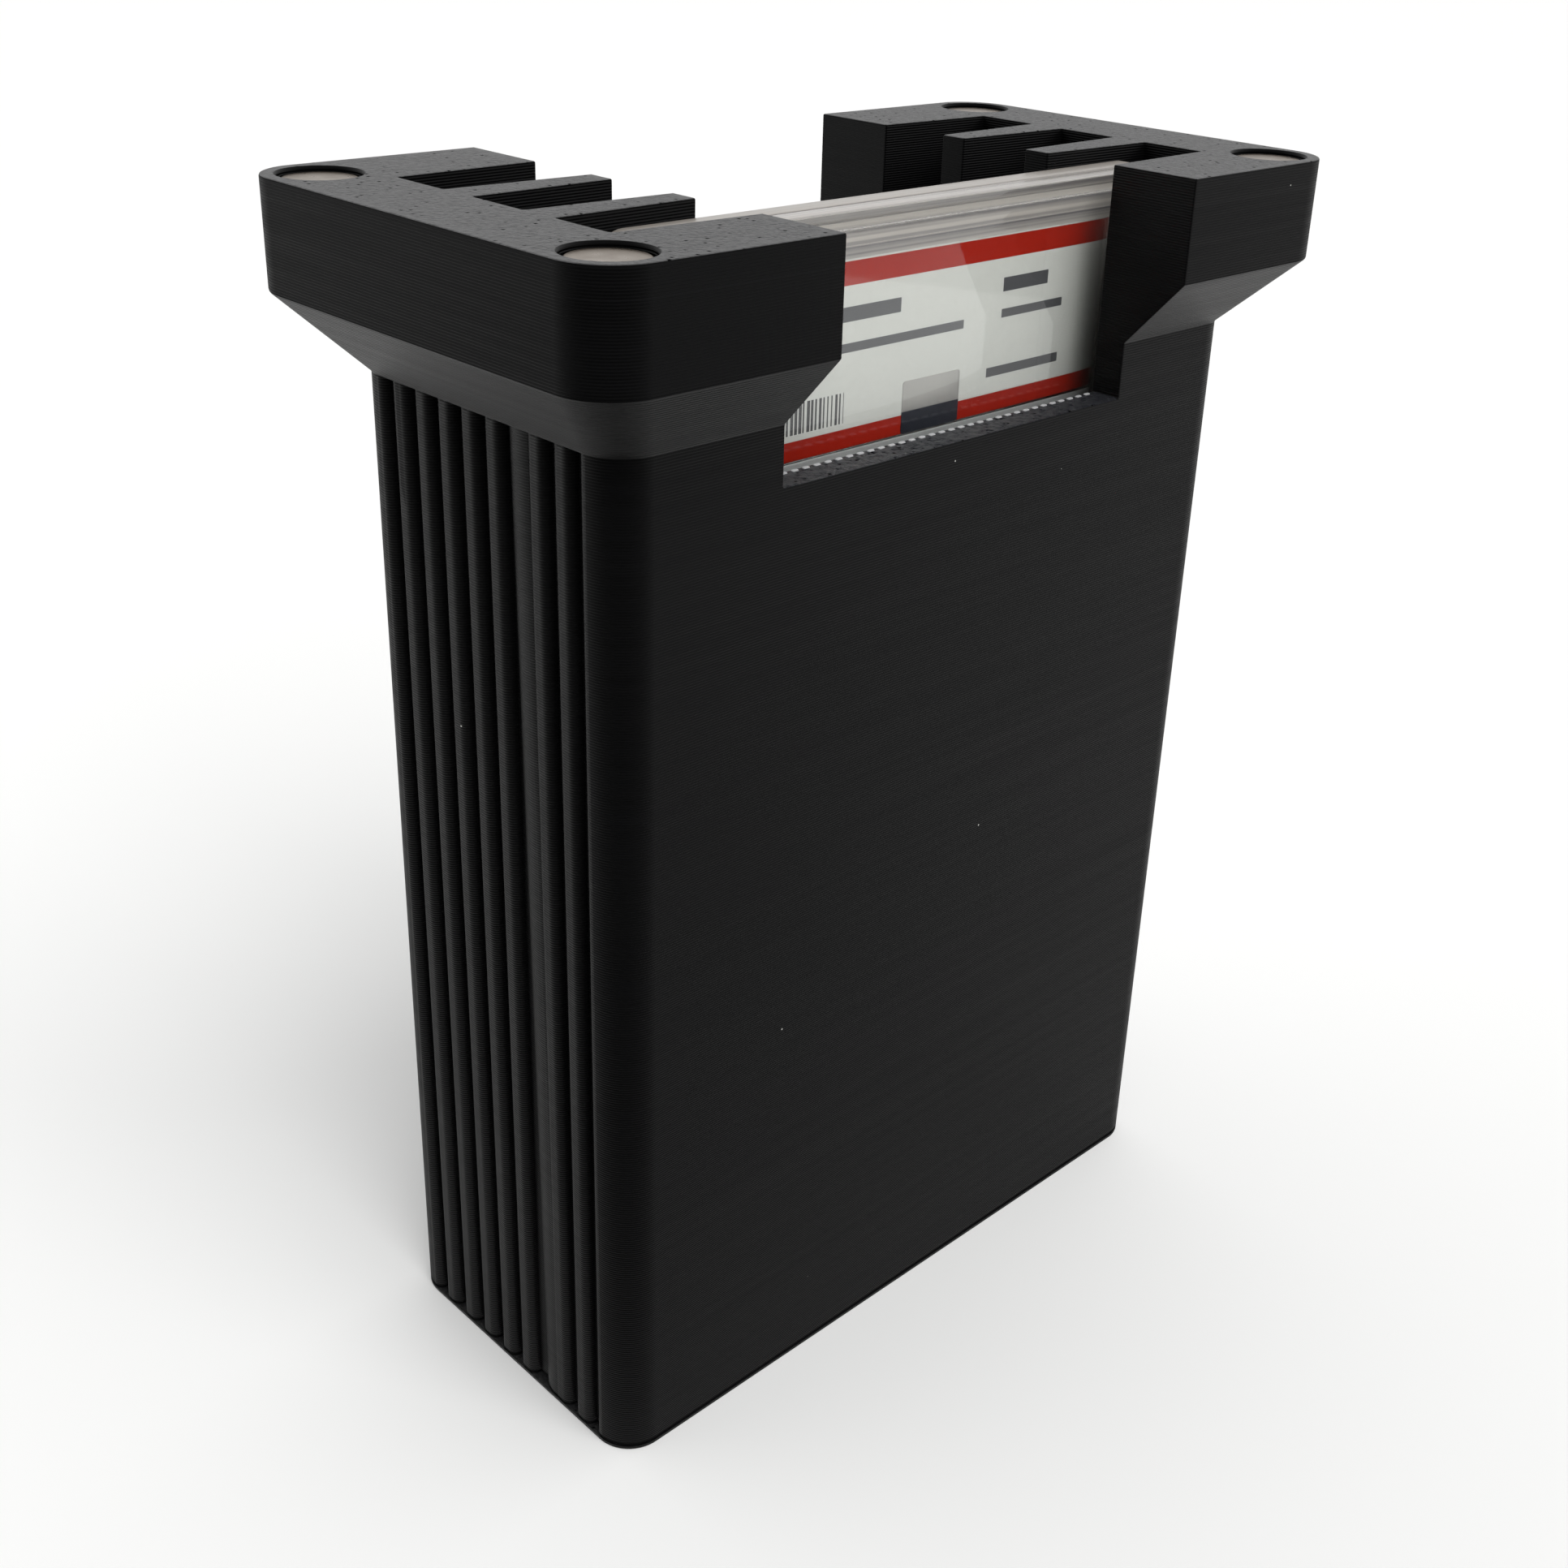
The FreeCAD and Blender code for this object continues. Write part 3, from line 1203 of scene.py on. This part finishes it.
    def slots(self) -> bpy.types.Object:
        """Model the cutter of the slots, each narrow at its ends and flared towards the crate's middle.

        Returns:
            The three slots' cutter.
        """
        first = -(self.slot_count - 1) * self.slot_pitch / 2
        low = Vector((-self.half_window, first - self.slot_mouth / 2, self.floor))
        high = Vector((self.half_window, first + self.slot_mouth / 2, self.cut_top))
        cutter = block("slot_cutter", low, high)
        reach = self.slot_length / 2 - self.half_window
        for side in (-1, 1):
            with editing(cutter):
                select_faces(cutter, lambda middle, normal: normal.x * side > FACING)
                bpy.ops.mesh.extrude_region_move(TRANSFORM_OT_translate={"value": (side * reach, 0, 0)})
                bpy.ops.transform.resize(
                    value=(1, self.slot_root / self.slot_mouth, 1), center_override=(0, first, 0)
                )
        repeat_along(cutter, self.slot_count, Vector((0.0, self.slot_pitch, 0.0)))
        return cutter

    def open_middle(self) -> bpy.types.Object:
        """Model the cutter of the space between the tooth tips.

        Returns:
            The cutter.
        """
        low = Vector((-self.half_window, -self.half_span, self.floor))
        return block("middle_cutter", low, Vector((self.half_window, self.half_span, self.cut_top)))

    def windows(self) -> bpy.types.Object:
        """Model the cutter of the front and rear windows.

        Returns:
            The cutter, which runs right through the crate.
        """
        low = Vector((-self.half_window, self.low.y - self.overrun, self.sill))
        high = Vector((self.half_window, self.high.y + self.overrun, self.cut_top))
        return block("window_cutter", low, high)

    def valleys(self) -> bpy.types.Object:
        """Model the cutter of the valleys between the upright reeds on both short sides.

        Returns:
            The cutter: a plate less the bar of each reed, mirrored to the other side.
        """
        side = self.high.x - self.overhang
        low = Vector((side - self.valley_depth, -self.reed_end, self.plinth))
        cutter = block("valley_cutter", low, Vector((side + self.overrun, self.reed_end, self.slope_foot)))
        middles = [self.reed_end - self.reed_pitch * place for place in range(self.rear_reeds)]
        middles += [self.reed_pitch * place - self.reed_end for place in range(self.front_reeds)]
        start = Vector((side - 2 * (self.valley_depth + self.reed_edge), 0.0, self.plinth - self.overrun))
        end = Vector((side, 0.0, self.slope_foot + self.overrun))
        across = Vector((0.0, self.reed_width / 2, 0.0))
        for middle in middles:
            along = Vector((0.0, middle, 0.0))
            reed = block("reed", start + along - across, end + along + across)
            round_edges(reed, Axis.Z, self.reed_edge, self.reed_segments)
            cut(cutter, reed)
        cut(cutter, self.wide_reed(side))
        apply_modifier(cutter, "MIRROR", use_axis=(True, False, False))
        return cutter

    def wide_reed(self, side: float) -> bpy.types.Object:
        """Model the bar of the wide reed, which leans towards the front as it goes down.

        Args:
            side: The X of the body's side.

        Returns:
            The bar.
        """
        radius = self.wide_reed_radius
        foot = Vector((side - self.wide_reed_setback - radius, self.wide_reed_foot, 0.0))
        base = self.plinth - self.overrun
        bar = rod("reed", foot, radius, self.wide_reed_sides, base, self.slope_foot + self.overrun)
        with editing(bar):
            select_faces(bar, lambda middle, normal: normal.z > FACING)
            bpy.ops.transform.translate(value=(0, self.wide_reed_head - self.wide_reed_foot, 0))
        return bar

    def pockets(self) -> bpy.types.Object:
        """Model the cutter of the four magnet pockets, which flare a hair at the top.

        Returns:
            The cutter.
        """
        axis = self.high - Vector((self.flange_corner, self.flange_corner, 0.0))
        base = self.high.z - self.pocket_depth
        mouth = self.high.z - self.edge_round
        cutter = rod("pocket_cutter", axis, self.pocket_radius, self.pocket_sides, base, mouth)
        flare = 1 + self.edge_round / self.pocket_radius
        with editing(cutter):
            select_faces(cutter, lambda middle, normal: normal.z > FACING)
            bpy.ops.mesh.extrude_region_move(TRANSFORM_OT_translate={"value": (0, 0, self.edge_round)})
            bpy.ops.transform.resize(value=(flare, flare, 1), center_override=axis)
            bpy.ops.mesh.extrude_region_move(TRANSFORM_OT_translate={"value": (0, 0, self.overrun)})
        apply_modifier(cutter, "MIRROR", use_axis=(True, True, False))
        return cutter

    def dashes(self) -> bpy.types.Object:
        """Model and dress the rows of small dashes along the inner edges of both sills.

        Returns:
            The dashes as one mesh.
        """
        size = self.dash_size
        first = -(self.dash_count - 1) * self.dash_pitch / 2
        middle = Vector((first, -self.half_span - size.y, self.sill + self.dash_rise - size.z / 2))
        dashes = block("sill_dashes", middle - size / 2, middle + size / 2)
        soften(dashes, self.dash_round_share * size.z, self.dash_segments)
        repeat_along(dashes, self.dash_count, Vector((self.dash_pitch, 0.0, 0.0)))
        apply_modifier(dashes, "MIRROR", use_axis=(False, True, False))
        close_up(dashes)
        dashes.data.materials.append(self.dash_finish.material())
        return dashes

    def dress(self, crate: bpy.types.Object) -> None:
        """Give the walls, reeds, flange and slope their layer lines, and the level faces their stipple.

        Args:
            crate: The finished crate mesh.
        """
        crate.data.materials.append(self.wall_finish.material())
        half_size = Vector((self.high.x, self.high.y, 0.0))
        top = self.top_finish.material(half_size, self.flange_corner, self.half_window)
        sill = self.sill_finish.material(half_size, self.flange_corner, -self.high.x)
        dress_faces(crate, top, lambda middle, normal: normal.z > FACING)
        dress_faces(
            crate,
            sill,
            lambda middle, normal: normal.z > FACING and abs(middle.z - self.sill) < self.edge_round,
        )
        dress_faces(crate, self.reed_finish.material(), self.on_reeds)
        dress_faces(
            crate,
            self.flange_finish.material(),
            lambda middle, normal: abs(normal.z) < UPRIGHT and middle.z > self.flange_foot,
        )
        dress_faces(
            crate, self.slope_finish.material(), lambda middle, normal: -FACING < normal.z < -UPRIGHT
        )

    def on_reeds(self, middle: Vector, normal: Vector) -> bool:
        """Say whether a face lies on the reeds of either short side.

        Args:
            middle: The face's middle.
            normal: The face's normal.

        Returns:
            True if it does.
        """
        valley_floor = self.high.x - self.overhang - self.valley_depth - self.edge_round
        beside = abs(middle.x) > valley_floor and abs(middle.y) < self.reed_end
        return abs(normal.z) < UPRIGHT and beside and middle.z < self.sill


@dataclass
class MagnetSet:
    """The four disc magnets in the flange's corners."""

    corners: tuple[str, ...] = ("front_left", "front_right", "rear_left", "rear_right")
    rim_round: float = mm(0.25)
    dish_width: float = mm(0.5)
    dish_depth: float = mm(0.02)
    sides: int = 72
    rim_segments: int = 4
    finish: NickelPlate = NickelPlate()

    def build(self) -> list[bpy.types.Object]:
        """Model and dress one magnet, and copy it to each corner.

        Returns:
            The finished pieces.
        """
        first_low, first_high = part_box("magnet_" + self.corners[0])
        pieces = [self.disc(first_low, first_high)]
        pieces[0].data.materials.append(self.finish.material())
        for _ in self.corners[1:]:
            piece = pieces[0].copy()
            piece.data = pieces[0].data.copy()
            bpy.context.scene.collection.objects.link(piece)
            pieces.append(piece)
        for piece, corner in zip(pieces, self.corners):
            node = "magnet_" + corner
            piece.data.transform(Matrix.Translation(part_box(node)[0] - first_low))
            piece.name = "disc_magnet_" + corner
            hand_over(piece, Body.CRATE, node)
        return pieces

    def disc(self, low: Vector, high: Vector) -> bpy.types.Object:
        """Model a magnet with a rounded rim and a face that is dished a hair.

        Args:
            low: The magnet's lowest corner.
            high: The magnet's highest corner.

        Returns:
            The magnet.
        """
        piece = rod("disc_magnet", (low + high) / 2, (high.x - low.x) / 2, self.sides, low.z, high.z)
        soften(piece, self.rim_round, self.rim_segments)
        with editing(piece):
            select_faces(piece, lambda middle, normal: normal.z > SQUARE)
            bpy.ops.mesh.inset(thickness=self.dish_width, depth=-self.dish_depth)
        close_up(piece)
        return piece


@dataclass
class Slab:
    """The sealed card holder: two clear shells, a paper label with its foil seal, and the card."""

    corner: float = mm(3.2)
    rim: float = mm(3.6)
    panel_recess: float = mm(0.55)
    panel_corner: float = mm(1.6)
    panel_margin: float = mm(2.0)
    weld_inset: float = mm(1.5)
    weld_width: float = mm(0.8)
    weld_height: float = mm(0.7)
    weld_clearance: float = mm(0.08)
    well_clearance: float = mm(0.15)
    card_corner: float = mm(3.0)
    paper_corner: float = mm(0.4)
    # The halves and what lies in them stand this far apart, so that no two faces share a place.
    hair: float = mm(0.03)
    edge_round: float = mm(0.2)
    overrun: float = mm(1.0)
    edge_segments: int = 3
    corner_segments: int = 10
    panel_segments: int = 6
    insert_segments: int = 8
    insert_edge_segments: int = 2
    # How much of a sheet's thickness the rounding of its edges takes.
    insert_round_share: float = 0.2
    polished: ClearStyrene = ClearStyrene()
    # The back shell's welded edge is hazy, and the front shell's has finer streaks; the warm beige of these
    # streaks is partly a painted reflection of a beige ceiling.
    hazy: ClearStyrene = ClearStyrene(
        name="clear_styrene_welded_edge",
        colour="#B0A9A1",
        streak_colour="#989189",
        roughness=0.3,
        transmission=0.25,
        streak_mm=0.9,
        streak_length_mm=120.0,
    )
    streaked: ClearStyrene = ClearStyrene(
        name="clear_styrene_streaked_edge",
        colour="#BDB7B0",
        streak_colour="#928D87",
        roughness=0.26,
        transmission=0.25,
        streak_mm=0.6,
        streak_length_mm=120.0,
    )
    # The inner faces are frosted above the label, where they were welded, and a little misted elsewhere.
    frosted: ClearStyrene = ClearStyrene(
        name="clear_styrene_frosted_seam",
        colour="#C0BBB4",
        streak_colour="#6A686B",
        roughness=0.4,
        transmission=0.35,
        streak_mm=0.7,
        streak_length_mm=160.0,
        streak_relief_mm=0.001,
    )
    misted: ClearStyrene = ClearStyrene(
        name="clear_styrene_misted_face",
        colour="#E9EAE8",
        streak_colour="#E1E2E0",
        roughness=0.3,
        transmission=0.75,
        streak_mm=2.5,
        streak_length_mm=60.0,
        streak_relief_mm=0.001,
    )
    printed_paper: LabelPaper = LabelPaper()
    blank_paper: LabelPaper = LabelPaper(name="coated_paper_blank", bands=(), lines=(), bars=())
    foil: SealFoil = SealFoil()
    card_stock: CardStock = CardStock()
    low: Vector = field(default_factory=lambda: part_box("slab_front_shell")[0])
    high: Vector = field(default_factory=lambda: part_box("slab_front_shell")[1])
    # The Y of the plane where the two shells meet.
    seam: float = field(default_factory=lambda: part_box("slab_back_shell")[0].y)

    def build(self) -> list[bpy.types.Object]:
        """Model and dress the five pieces.

        Returns:
            The finished pieces.
        """
        return self.shells() + self.inserts()

    def shells(self) -> list[bpy.types.Object]:
        """Model and dress the two clear shells.

        Returns:
            The finished pieces, the front one first.
        """
        clear, mist, frost = [finish.material() for finish in (self.polished, self.misted, self.frosted)]
        label_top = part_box("slab_label")[1].z
        front = self.front_shell()
        back = self.back_shell()
        shells = (
            (front, "slab_front_shell", self.streaked, 1),
            (back, "slab_back_shell", self.hazy, -1),
        )
        for piece, node, edge, facing in shells:
            self.split_level(piece, label_top)
            piece.data.materials.append(clear)
            dress_faces(piece, mist, lambda middle, normal: self.on_seam(middle, normal, facing))
            dress_faces(
                piece,
                frost,
                lambda middle, normal: middle.z > label_top and self.on_seam(middle, normal, facing),
            )
            dress_faces(
                piece,
                edge.material(),
                lambda middle, normal: abs(normal.y) < LEANING and self.on_rim(middle, self.weld_inset / 2),
            )
            piece.visible_shadow = False
            hand_over(piece, Body.SLAB, node)
        return [front, back]

    def inserts(self) -> list[bpy.types.Object]:
        """Model and dress the label, which is printed in front and blank behind, its seal and the card.

        Returns:
            The finished pieces.
        """
        inserts = (
            ("paper_label", "slab_label", self.paper_corner, self.printed_paper, Slot.LABEL),
            ("foil_seal", "label_seal", self.paper_corner, self.foil, Slot.FOIL),
            ("printed_card", "graded_card", self.card_corner, self.card_stock, Slot.CARD),
        )
        pieces = []
        for name, node, corner, finish, slot in inserts:
            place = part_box(node)
            piece = self.sheet(name, node, corner)
            piece.data.materials.append(finish.material(*place))
            if slot is Slot.LABEL:
                blank = self.blank_paper.material(*place)
                dress_faces(piece, blank, lambda middle, normal: normal.y > FACING)
            hand_over(piece, Body.SLAB, node)
            pieces.append(piece)
        return pieces

    def split_level(self, piece: bpy.types.Object, height: float) -> None:
        """Split the faces of a shell along a level line, so that each side of it can have its own finish.

        Args:
            piece: The shell.
            height: The height of the line.
        """
        with editing(piece):
            bpy.ops.mesh.select_all(action="SELECT")
            bpy.ops.mesh.bisect(plane_co=(0, 0, height), plane_no=(0, 0, 1))

    def on_seam(self, middle: Vector, normal: Vector, facing: int) -> bool:
        """Say whether a face of a shell lies where the two shells meet.

        Args:
            middle: The face's middle.
            normal: The face's normal.
            facing: The way that the shell's inner side looks along Y.

        Returns:
            True for the rim of either shell's inner side, and for all of the back shell's inner side.
        """
        whole = facing < 0 and abs(middle.y - self.seam) < NEAR
        return normal.y * facing > LEANING and (whole or self.on_rim(middle, self.rim))

    def on_rim(self, middle: Vector, depth: float) -> bool:
        """Say whether a point lies near the slab's outline.

        Args:
            middle: The point.
            depth: How far in from the outline still counts.

        Returns:
            True if it does.
        """
        across = self.low.x + depth < middle.x < self.high.x - depth
        upwards = self.low.z + depth < middle.z < self.high.z - depth
        return not (across and upwards)

    def plate(self, name: str, front: float, back: float) -> bpy.types.Object:
        """Model a plate of the slab's outline.

        Args:
            name: The new object's name.
            front: The Y of its front face.
            back: The Y of its back face.

        Returns:
            The plate with its corners rounded.
        """
        low = Vector((self.low.x, front, self.low.z))
        piece = block(name, low, Vector((self.high.x, back, self.high.z)))
        round_edges(piece, Axis.Y, self.corner, self.corner_segments)
        return piece

    def sink_panels(self, piece: bpy.types.Object, front: float, back: float) -> None:
        """Cut the shallow panels over the label and the card into a shell's outer face.

        Args:
            piece: The shell.
            front: The Y where the cut starts.
            back: The Y where it ends.
        """
        label_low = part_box("slab_label")[0]
        card_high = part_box("graded_card")[1]
        spans = [
            (label_low.z - self.panel_margin, self.high.z - self.rim),
            (self.low.z + self.rim, card_high.z + self.panel_margin),
        ]
        for base, top in spans:
            cutter = block(
                "panel_cutter",
                Vector((self.low.x + self.rim, front, base)),
                Vector((self.high.x - self.rim, back, top)),
            )
            round_edges(cutter, Axis.Y, self.panel_corner, self.panel_segments)
            cut(piece, cutter)

    def ring(self, piece: bpy.types.Object, facing: int, clearance: float, reach: float) -> None:
        """Draw the weld's ring out of a shell's inner face, or into it.

        Args:
            piece: The shell.
            facing: The way that the inner face looks along Y.
            clearance: How much wider the ring is on each side.
            reach: How far the ring moves along Y.
        """
        with editing(piece):
            select_faces(piece, lambda middle, normal: normal.y * facing > SQUARE)
            bpy.ops.mesh.inset(thickness=self.weld_inset - clearance)
            bpy.ops.mesh.inset(thickness=self.weld_width + 2 * clearance)
            bpy.ops.mesh.select_more()
            mesh = bmesh.from_edit_mesh(piece.data)
            widest = max((face for face in mesh.faces if face.select), key=lambda face: face.calc_area())
            widest.select_set(False)
            bmesh.update_edit_mesh(piece.data)
            bpy.ops.mesh.extrude_region_move(TRANSFORM_OT_translate={"value": (0, reach, 0)})

    def front_shell(self) -> bpy.types.Object:
        """Model the front shell, with the weld's tongue on its back.

        Returns:
            The shell.
        """
        piece = self.plate("clear_front_shell", self.low.y, self.seam - self.hair)
        self.ring(piece, 1, 0.0, self.weld_height)
        self.sink_panels(piece, self.low.y - self.overrun, self.low.y + self.panel_recess)
        soften(piece, self.edge_round, self.edge_segments)
        close_up(piece)
        return piece

    def back_shell(self) -> bpy.types.Object:
        """Model the back shell, with the weld's groove and the wells for the label and the card.

        Returns:
            The shell.
        """
        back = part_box("slab_back_shell")[1].y
        piece = self.plate("clear_back_shell", self.seam + self.hair, back)
        self.ring(piece, -1, self.weld_clearance, self.weld_height + self.weld_clearance)
        self.sink_panels(piece, back - self.panel_recess, back + self.overrun)
        clearance = Vector((self.well_clearance, self.hair, self.well_clearance))
        for node, corner in (("slab_label", self.paper_corner), ("graded_card", self.card_corner)):
            low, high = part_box(node)
            start = low - clearance
            start.y = self.seam - self.overrun
            cutter = block("well_cutter", start, high + clearance)
            round_edges(cutter, Axis.Y, corner, self.insert_segments)
            cut(piece, cutter)
        soften(piece, self.edge_round, self.edge_segments)
        close_up(piece)
        return piece

    def sheet(self, name: str, node: str, corner: float) -> bpy.types.Object:
        """Model a thin upright sheet in a node's place.

        Args:
            name: The new object's name.
            node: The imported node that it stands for.
            corner: The radius of its corners.

        Returns:
            The sheet with rounded corners and softened edges.
        """
        low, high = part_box(node)
        piece = block(name, low, high)
        round_edges(piece, Axis.Y, corner, self.insert_segments)
        soften(piece, self.insert_round_share * (high.y - low.y), self.insert_edge_segments)
        close_up(piece)
        return piece


@dataclass
class Studio:
    """The floor, the light and the camera."""

    floor_size: float = 12.0
    floor_finish: MattSheet = MattSheet("matt_painted_board", "#FAFAF9", roughness=0.9, specular=0.2)
    # Reflections alone see a grey-white sheet under the object and black felt all round it, as on a photo
    # table: a painted reflection of a darker table than the pale floor that the camera sees.
    sheet_half_width: float = 0.6
    sheet_front: float = 0.055
    sheet_back: float = 1.0
    sheet_height: float = mm(1.0)
    sheet_finish: MattSheet = MattSheet("matt_grey_board", "#DCDCDB", roughness=0.9, specular=0.2)
    felt_height: float = mm(0.5)
    felt_finish: MattSheet = MattSheet("black_felt_needled", "#1B1B1B", roughness=1.0, specular=0.1)
    camera_place: Vector = field(default_factory=lambda: Vector((-0.15225, -0.15302, 0.17621)))
    camera_forward: Vector = field(default_factory=lambda: Vector((0.6429, 0.6412, -0.419)))
    camera_up: Vector = field(default_factory=lambda: Vector((0.2695, 0.3227, 0.9073)))
    camera_nearest: float = mm(10.0)
    photo_side: float = 1932.0
    focal_pixels: float = 2331.1
    middle_pixel: tuple[float, float] = (1010.0, 870.0)
    sensor: float = 36.0
    sky_colour: str = "#FFFFFF"
    sky_strength: float = 1.05
    zenith_strength: float = 0.5
    zenith_heights: tuple[float, float] = (0.45, 0.9)
    # The flag comes in over these shares of the way towards the camera, and goes out over these heights.
    flag_strength: float = 0.04
    flag_shares: tuple[float, float] = (0.1, 0.6)
    flag_heights: tuple[float, float] = (0.6, 0.85)
    key_strength: float = 2.1
    key_angle: float = math.radians(50)
    key_from: Vector = field(default_factory=lambda: Vector((-0.12, -0.63, 0.76)))

    def build(self) -> None:
        """Set up the floor, the light and the camera."""
        self.lay("floor", self.floor_size, 0.0, self.floor_finish)
        self.lay_table()
        self.sky()
        self.key()
        self.camera()
        settings = bpy.context.scene.view_settings
        settings.view_transform = "Standard"
        settings.look = "None"

    def towards_camera(self) -> Vector:
        """The level direction from the object to the camera."""
        return Vector((-self.camera_forward.x, -self.camera_forward.y, 0.0)).normalized()

    def lay(self, name: str, size: float, height: float, finish: MattSheet) -> bpy.types.Object:
        """Lay a level sheet that belongs to the stage.

        Args:
            name: The new object's name.
            size: The length of its sides.
            height: How high it lies.
            finish: What it is made of.

        Returns:
            The sheet.
        """
        clear_selection()
        bpy.ops.mesh.primitive_plane_add(size=size, location=(0, 0, height))
        sheet = bpy.context.active_object
        sheet.name = name
        sheet.data.materials.append(finish.material())
        return sheet

    def lay_table(self) -> None:
        """Lay the black felt and the grey-white sheet that only reflections see."""
        felt = self.lay("felt", self.floor_size, self.felt_height, self.felt_finish)
        sheet = self.lay("sheet", 1.0, self.sheet_height, self.sheet_finish)
        front = self.towards_camera()
        across = Vector((-front.y, front.x, 0.0))
        corners = [
            side * self.sheet_half_width * across + reach * front
            for reach in (-self.sheet_back, self.sheet_front)
            for side in (-1, 1)
        ]
        for point, corner in zip(sheet.data.vertices, corners):
            point.co = corner
        for piece in (felt, sheet):
            piece.visible_camera = False
            piece.visible_diffuse = False
            piece.visible_transmission = False
            piece.visible_shadow = False

    def sky(self) -> None:
        """Set a pale sky, duller overhead, with a dark flag low down on the camera's side."""
        world = bpy.data.worlds.new("studio")
        bpy.context.scene.world = world
        world.use_nodes = True
        tree = world.node_tree
        tree.nodes.clear()
        direction = add_node(tree, "TexCoord").outputs["Generated"]
        height = add_node(tree, "SeparateXYZ", {0: direction}).outputs["Z"]
        facing = add_node(
            tree, "VectorMath", {0: direction, 1: self.towards_camera()}, operation="DOT_PRODUCT"
        ).outputs["Value"]
        ramps = (
            (facing, self.flag_shares, (0.0, 1.0)),
            (height, self.flag_heights, (1.0, 0.0)),
            (height, self.zenith_heights, (self.sky_strength, self.zenith_strength)),
        )
        front, low, dome = [
            add_node(
                tree,
                "MapRange",
                {"Value": value, "From Min": start, "From Max": end, "To Min": first, "To Max": last},
                interpolation_type="SMOOTHSTEP",
            ).outputs[0]
            for value, (start, end), (first, last) in ramps
        ]
        flag = add_node(tree, "Math", {0: front, 1: low}, operation="MULTIPLY").outputs[0]
        shade = add_node(
            tree, "Mix", {"Factor": flag, "A": dome, "B": self.flag_strength}, data_type="FLOAT"
        ).outputs["Result"]
        seen = add_node(tree, "LightPath").outputs["Is Camera Ray"]
        strength = add_node(
            tree, "Mix", {"Factor": seen, "A": shade, "B": 1.0}, data_type="FLOAT"
        ).outputs["Result"]
        sky = add_node(tree, "Background", {"Color": linear(self.sky_colour), "Strength": strength})
        add_node(tree, "OutputWorld", {"Surface": sky.outputs[0]})

    def key(self) -> None:
        """Set one wide soft lamp in front, which reflections do not see."""
        lamp = bpy.data.lights.new("key", "SUN")
        lamp.energy = self.key_strength
        lamp.angle = self.key_angle
        key = bpy.data.objects.new("key", lamp)
        key.rotation_euler = (-self.key_from).to_track_quat("-Z", "Y").to_euler()
        key.visible_glossy = False
        bpy.context.scene.collection.objects.link(key)

    def camera(self) -> None:
        """Set the camera at the photograph's angle."""
        data = bpy.data.cameras.new("camera")
        data.sensor_width = self.sensor
        data.lens = self.sensor * self.focal_pixels / self.photo_side
        data.shift_x = -(self.middle_pixel[0] - self.photo_side / 2) / self.photo_side
        data.shift_y = (self.middle_pixel[1] - self.photo_side / 2) / self.photo_side
        data.clip_start = self.camera_nearest
        camera = bpy.data.objects.new("camera", data)
        forward = self.camera_forward.normalized()
        right = forward.cross(self.camera_up).normalized()
        up = right.cross(forward)
        turn = Matrix((right, up, -forward)).transposed()
        camera.matrix_world = Matrix.LocRotScale(self.camera_place, turn.to_quaternion(), None)
        bpy.context.scene.collection.objects.link(camera)
        bpy.context.scene.camera = camera


def main() -> None:
    """Build every sub-assembly and report its pieces, then set up the studio."""
    logging.basicConfig(level=logging.INFO, format="%(name)s: %(message)s")
    for assembly in (PrintedCrate(), MagnetSet(), Slab()):
        for piece in assembly.build():
            LOG.info("%s: %d faces", piece.name, len(piece.data.polygons))
    Studio().build()


if __name__ == "__main__":
    main()
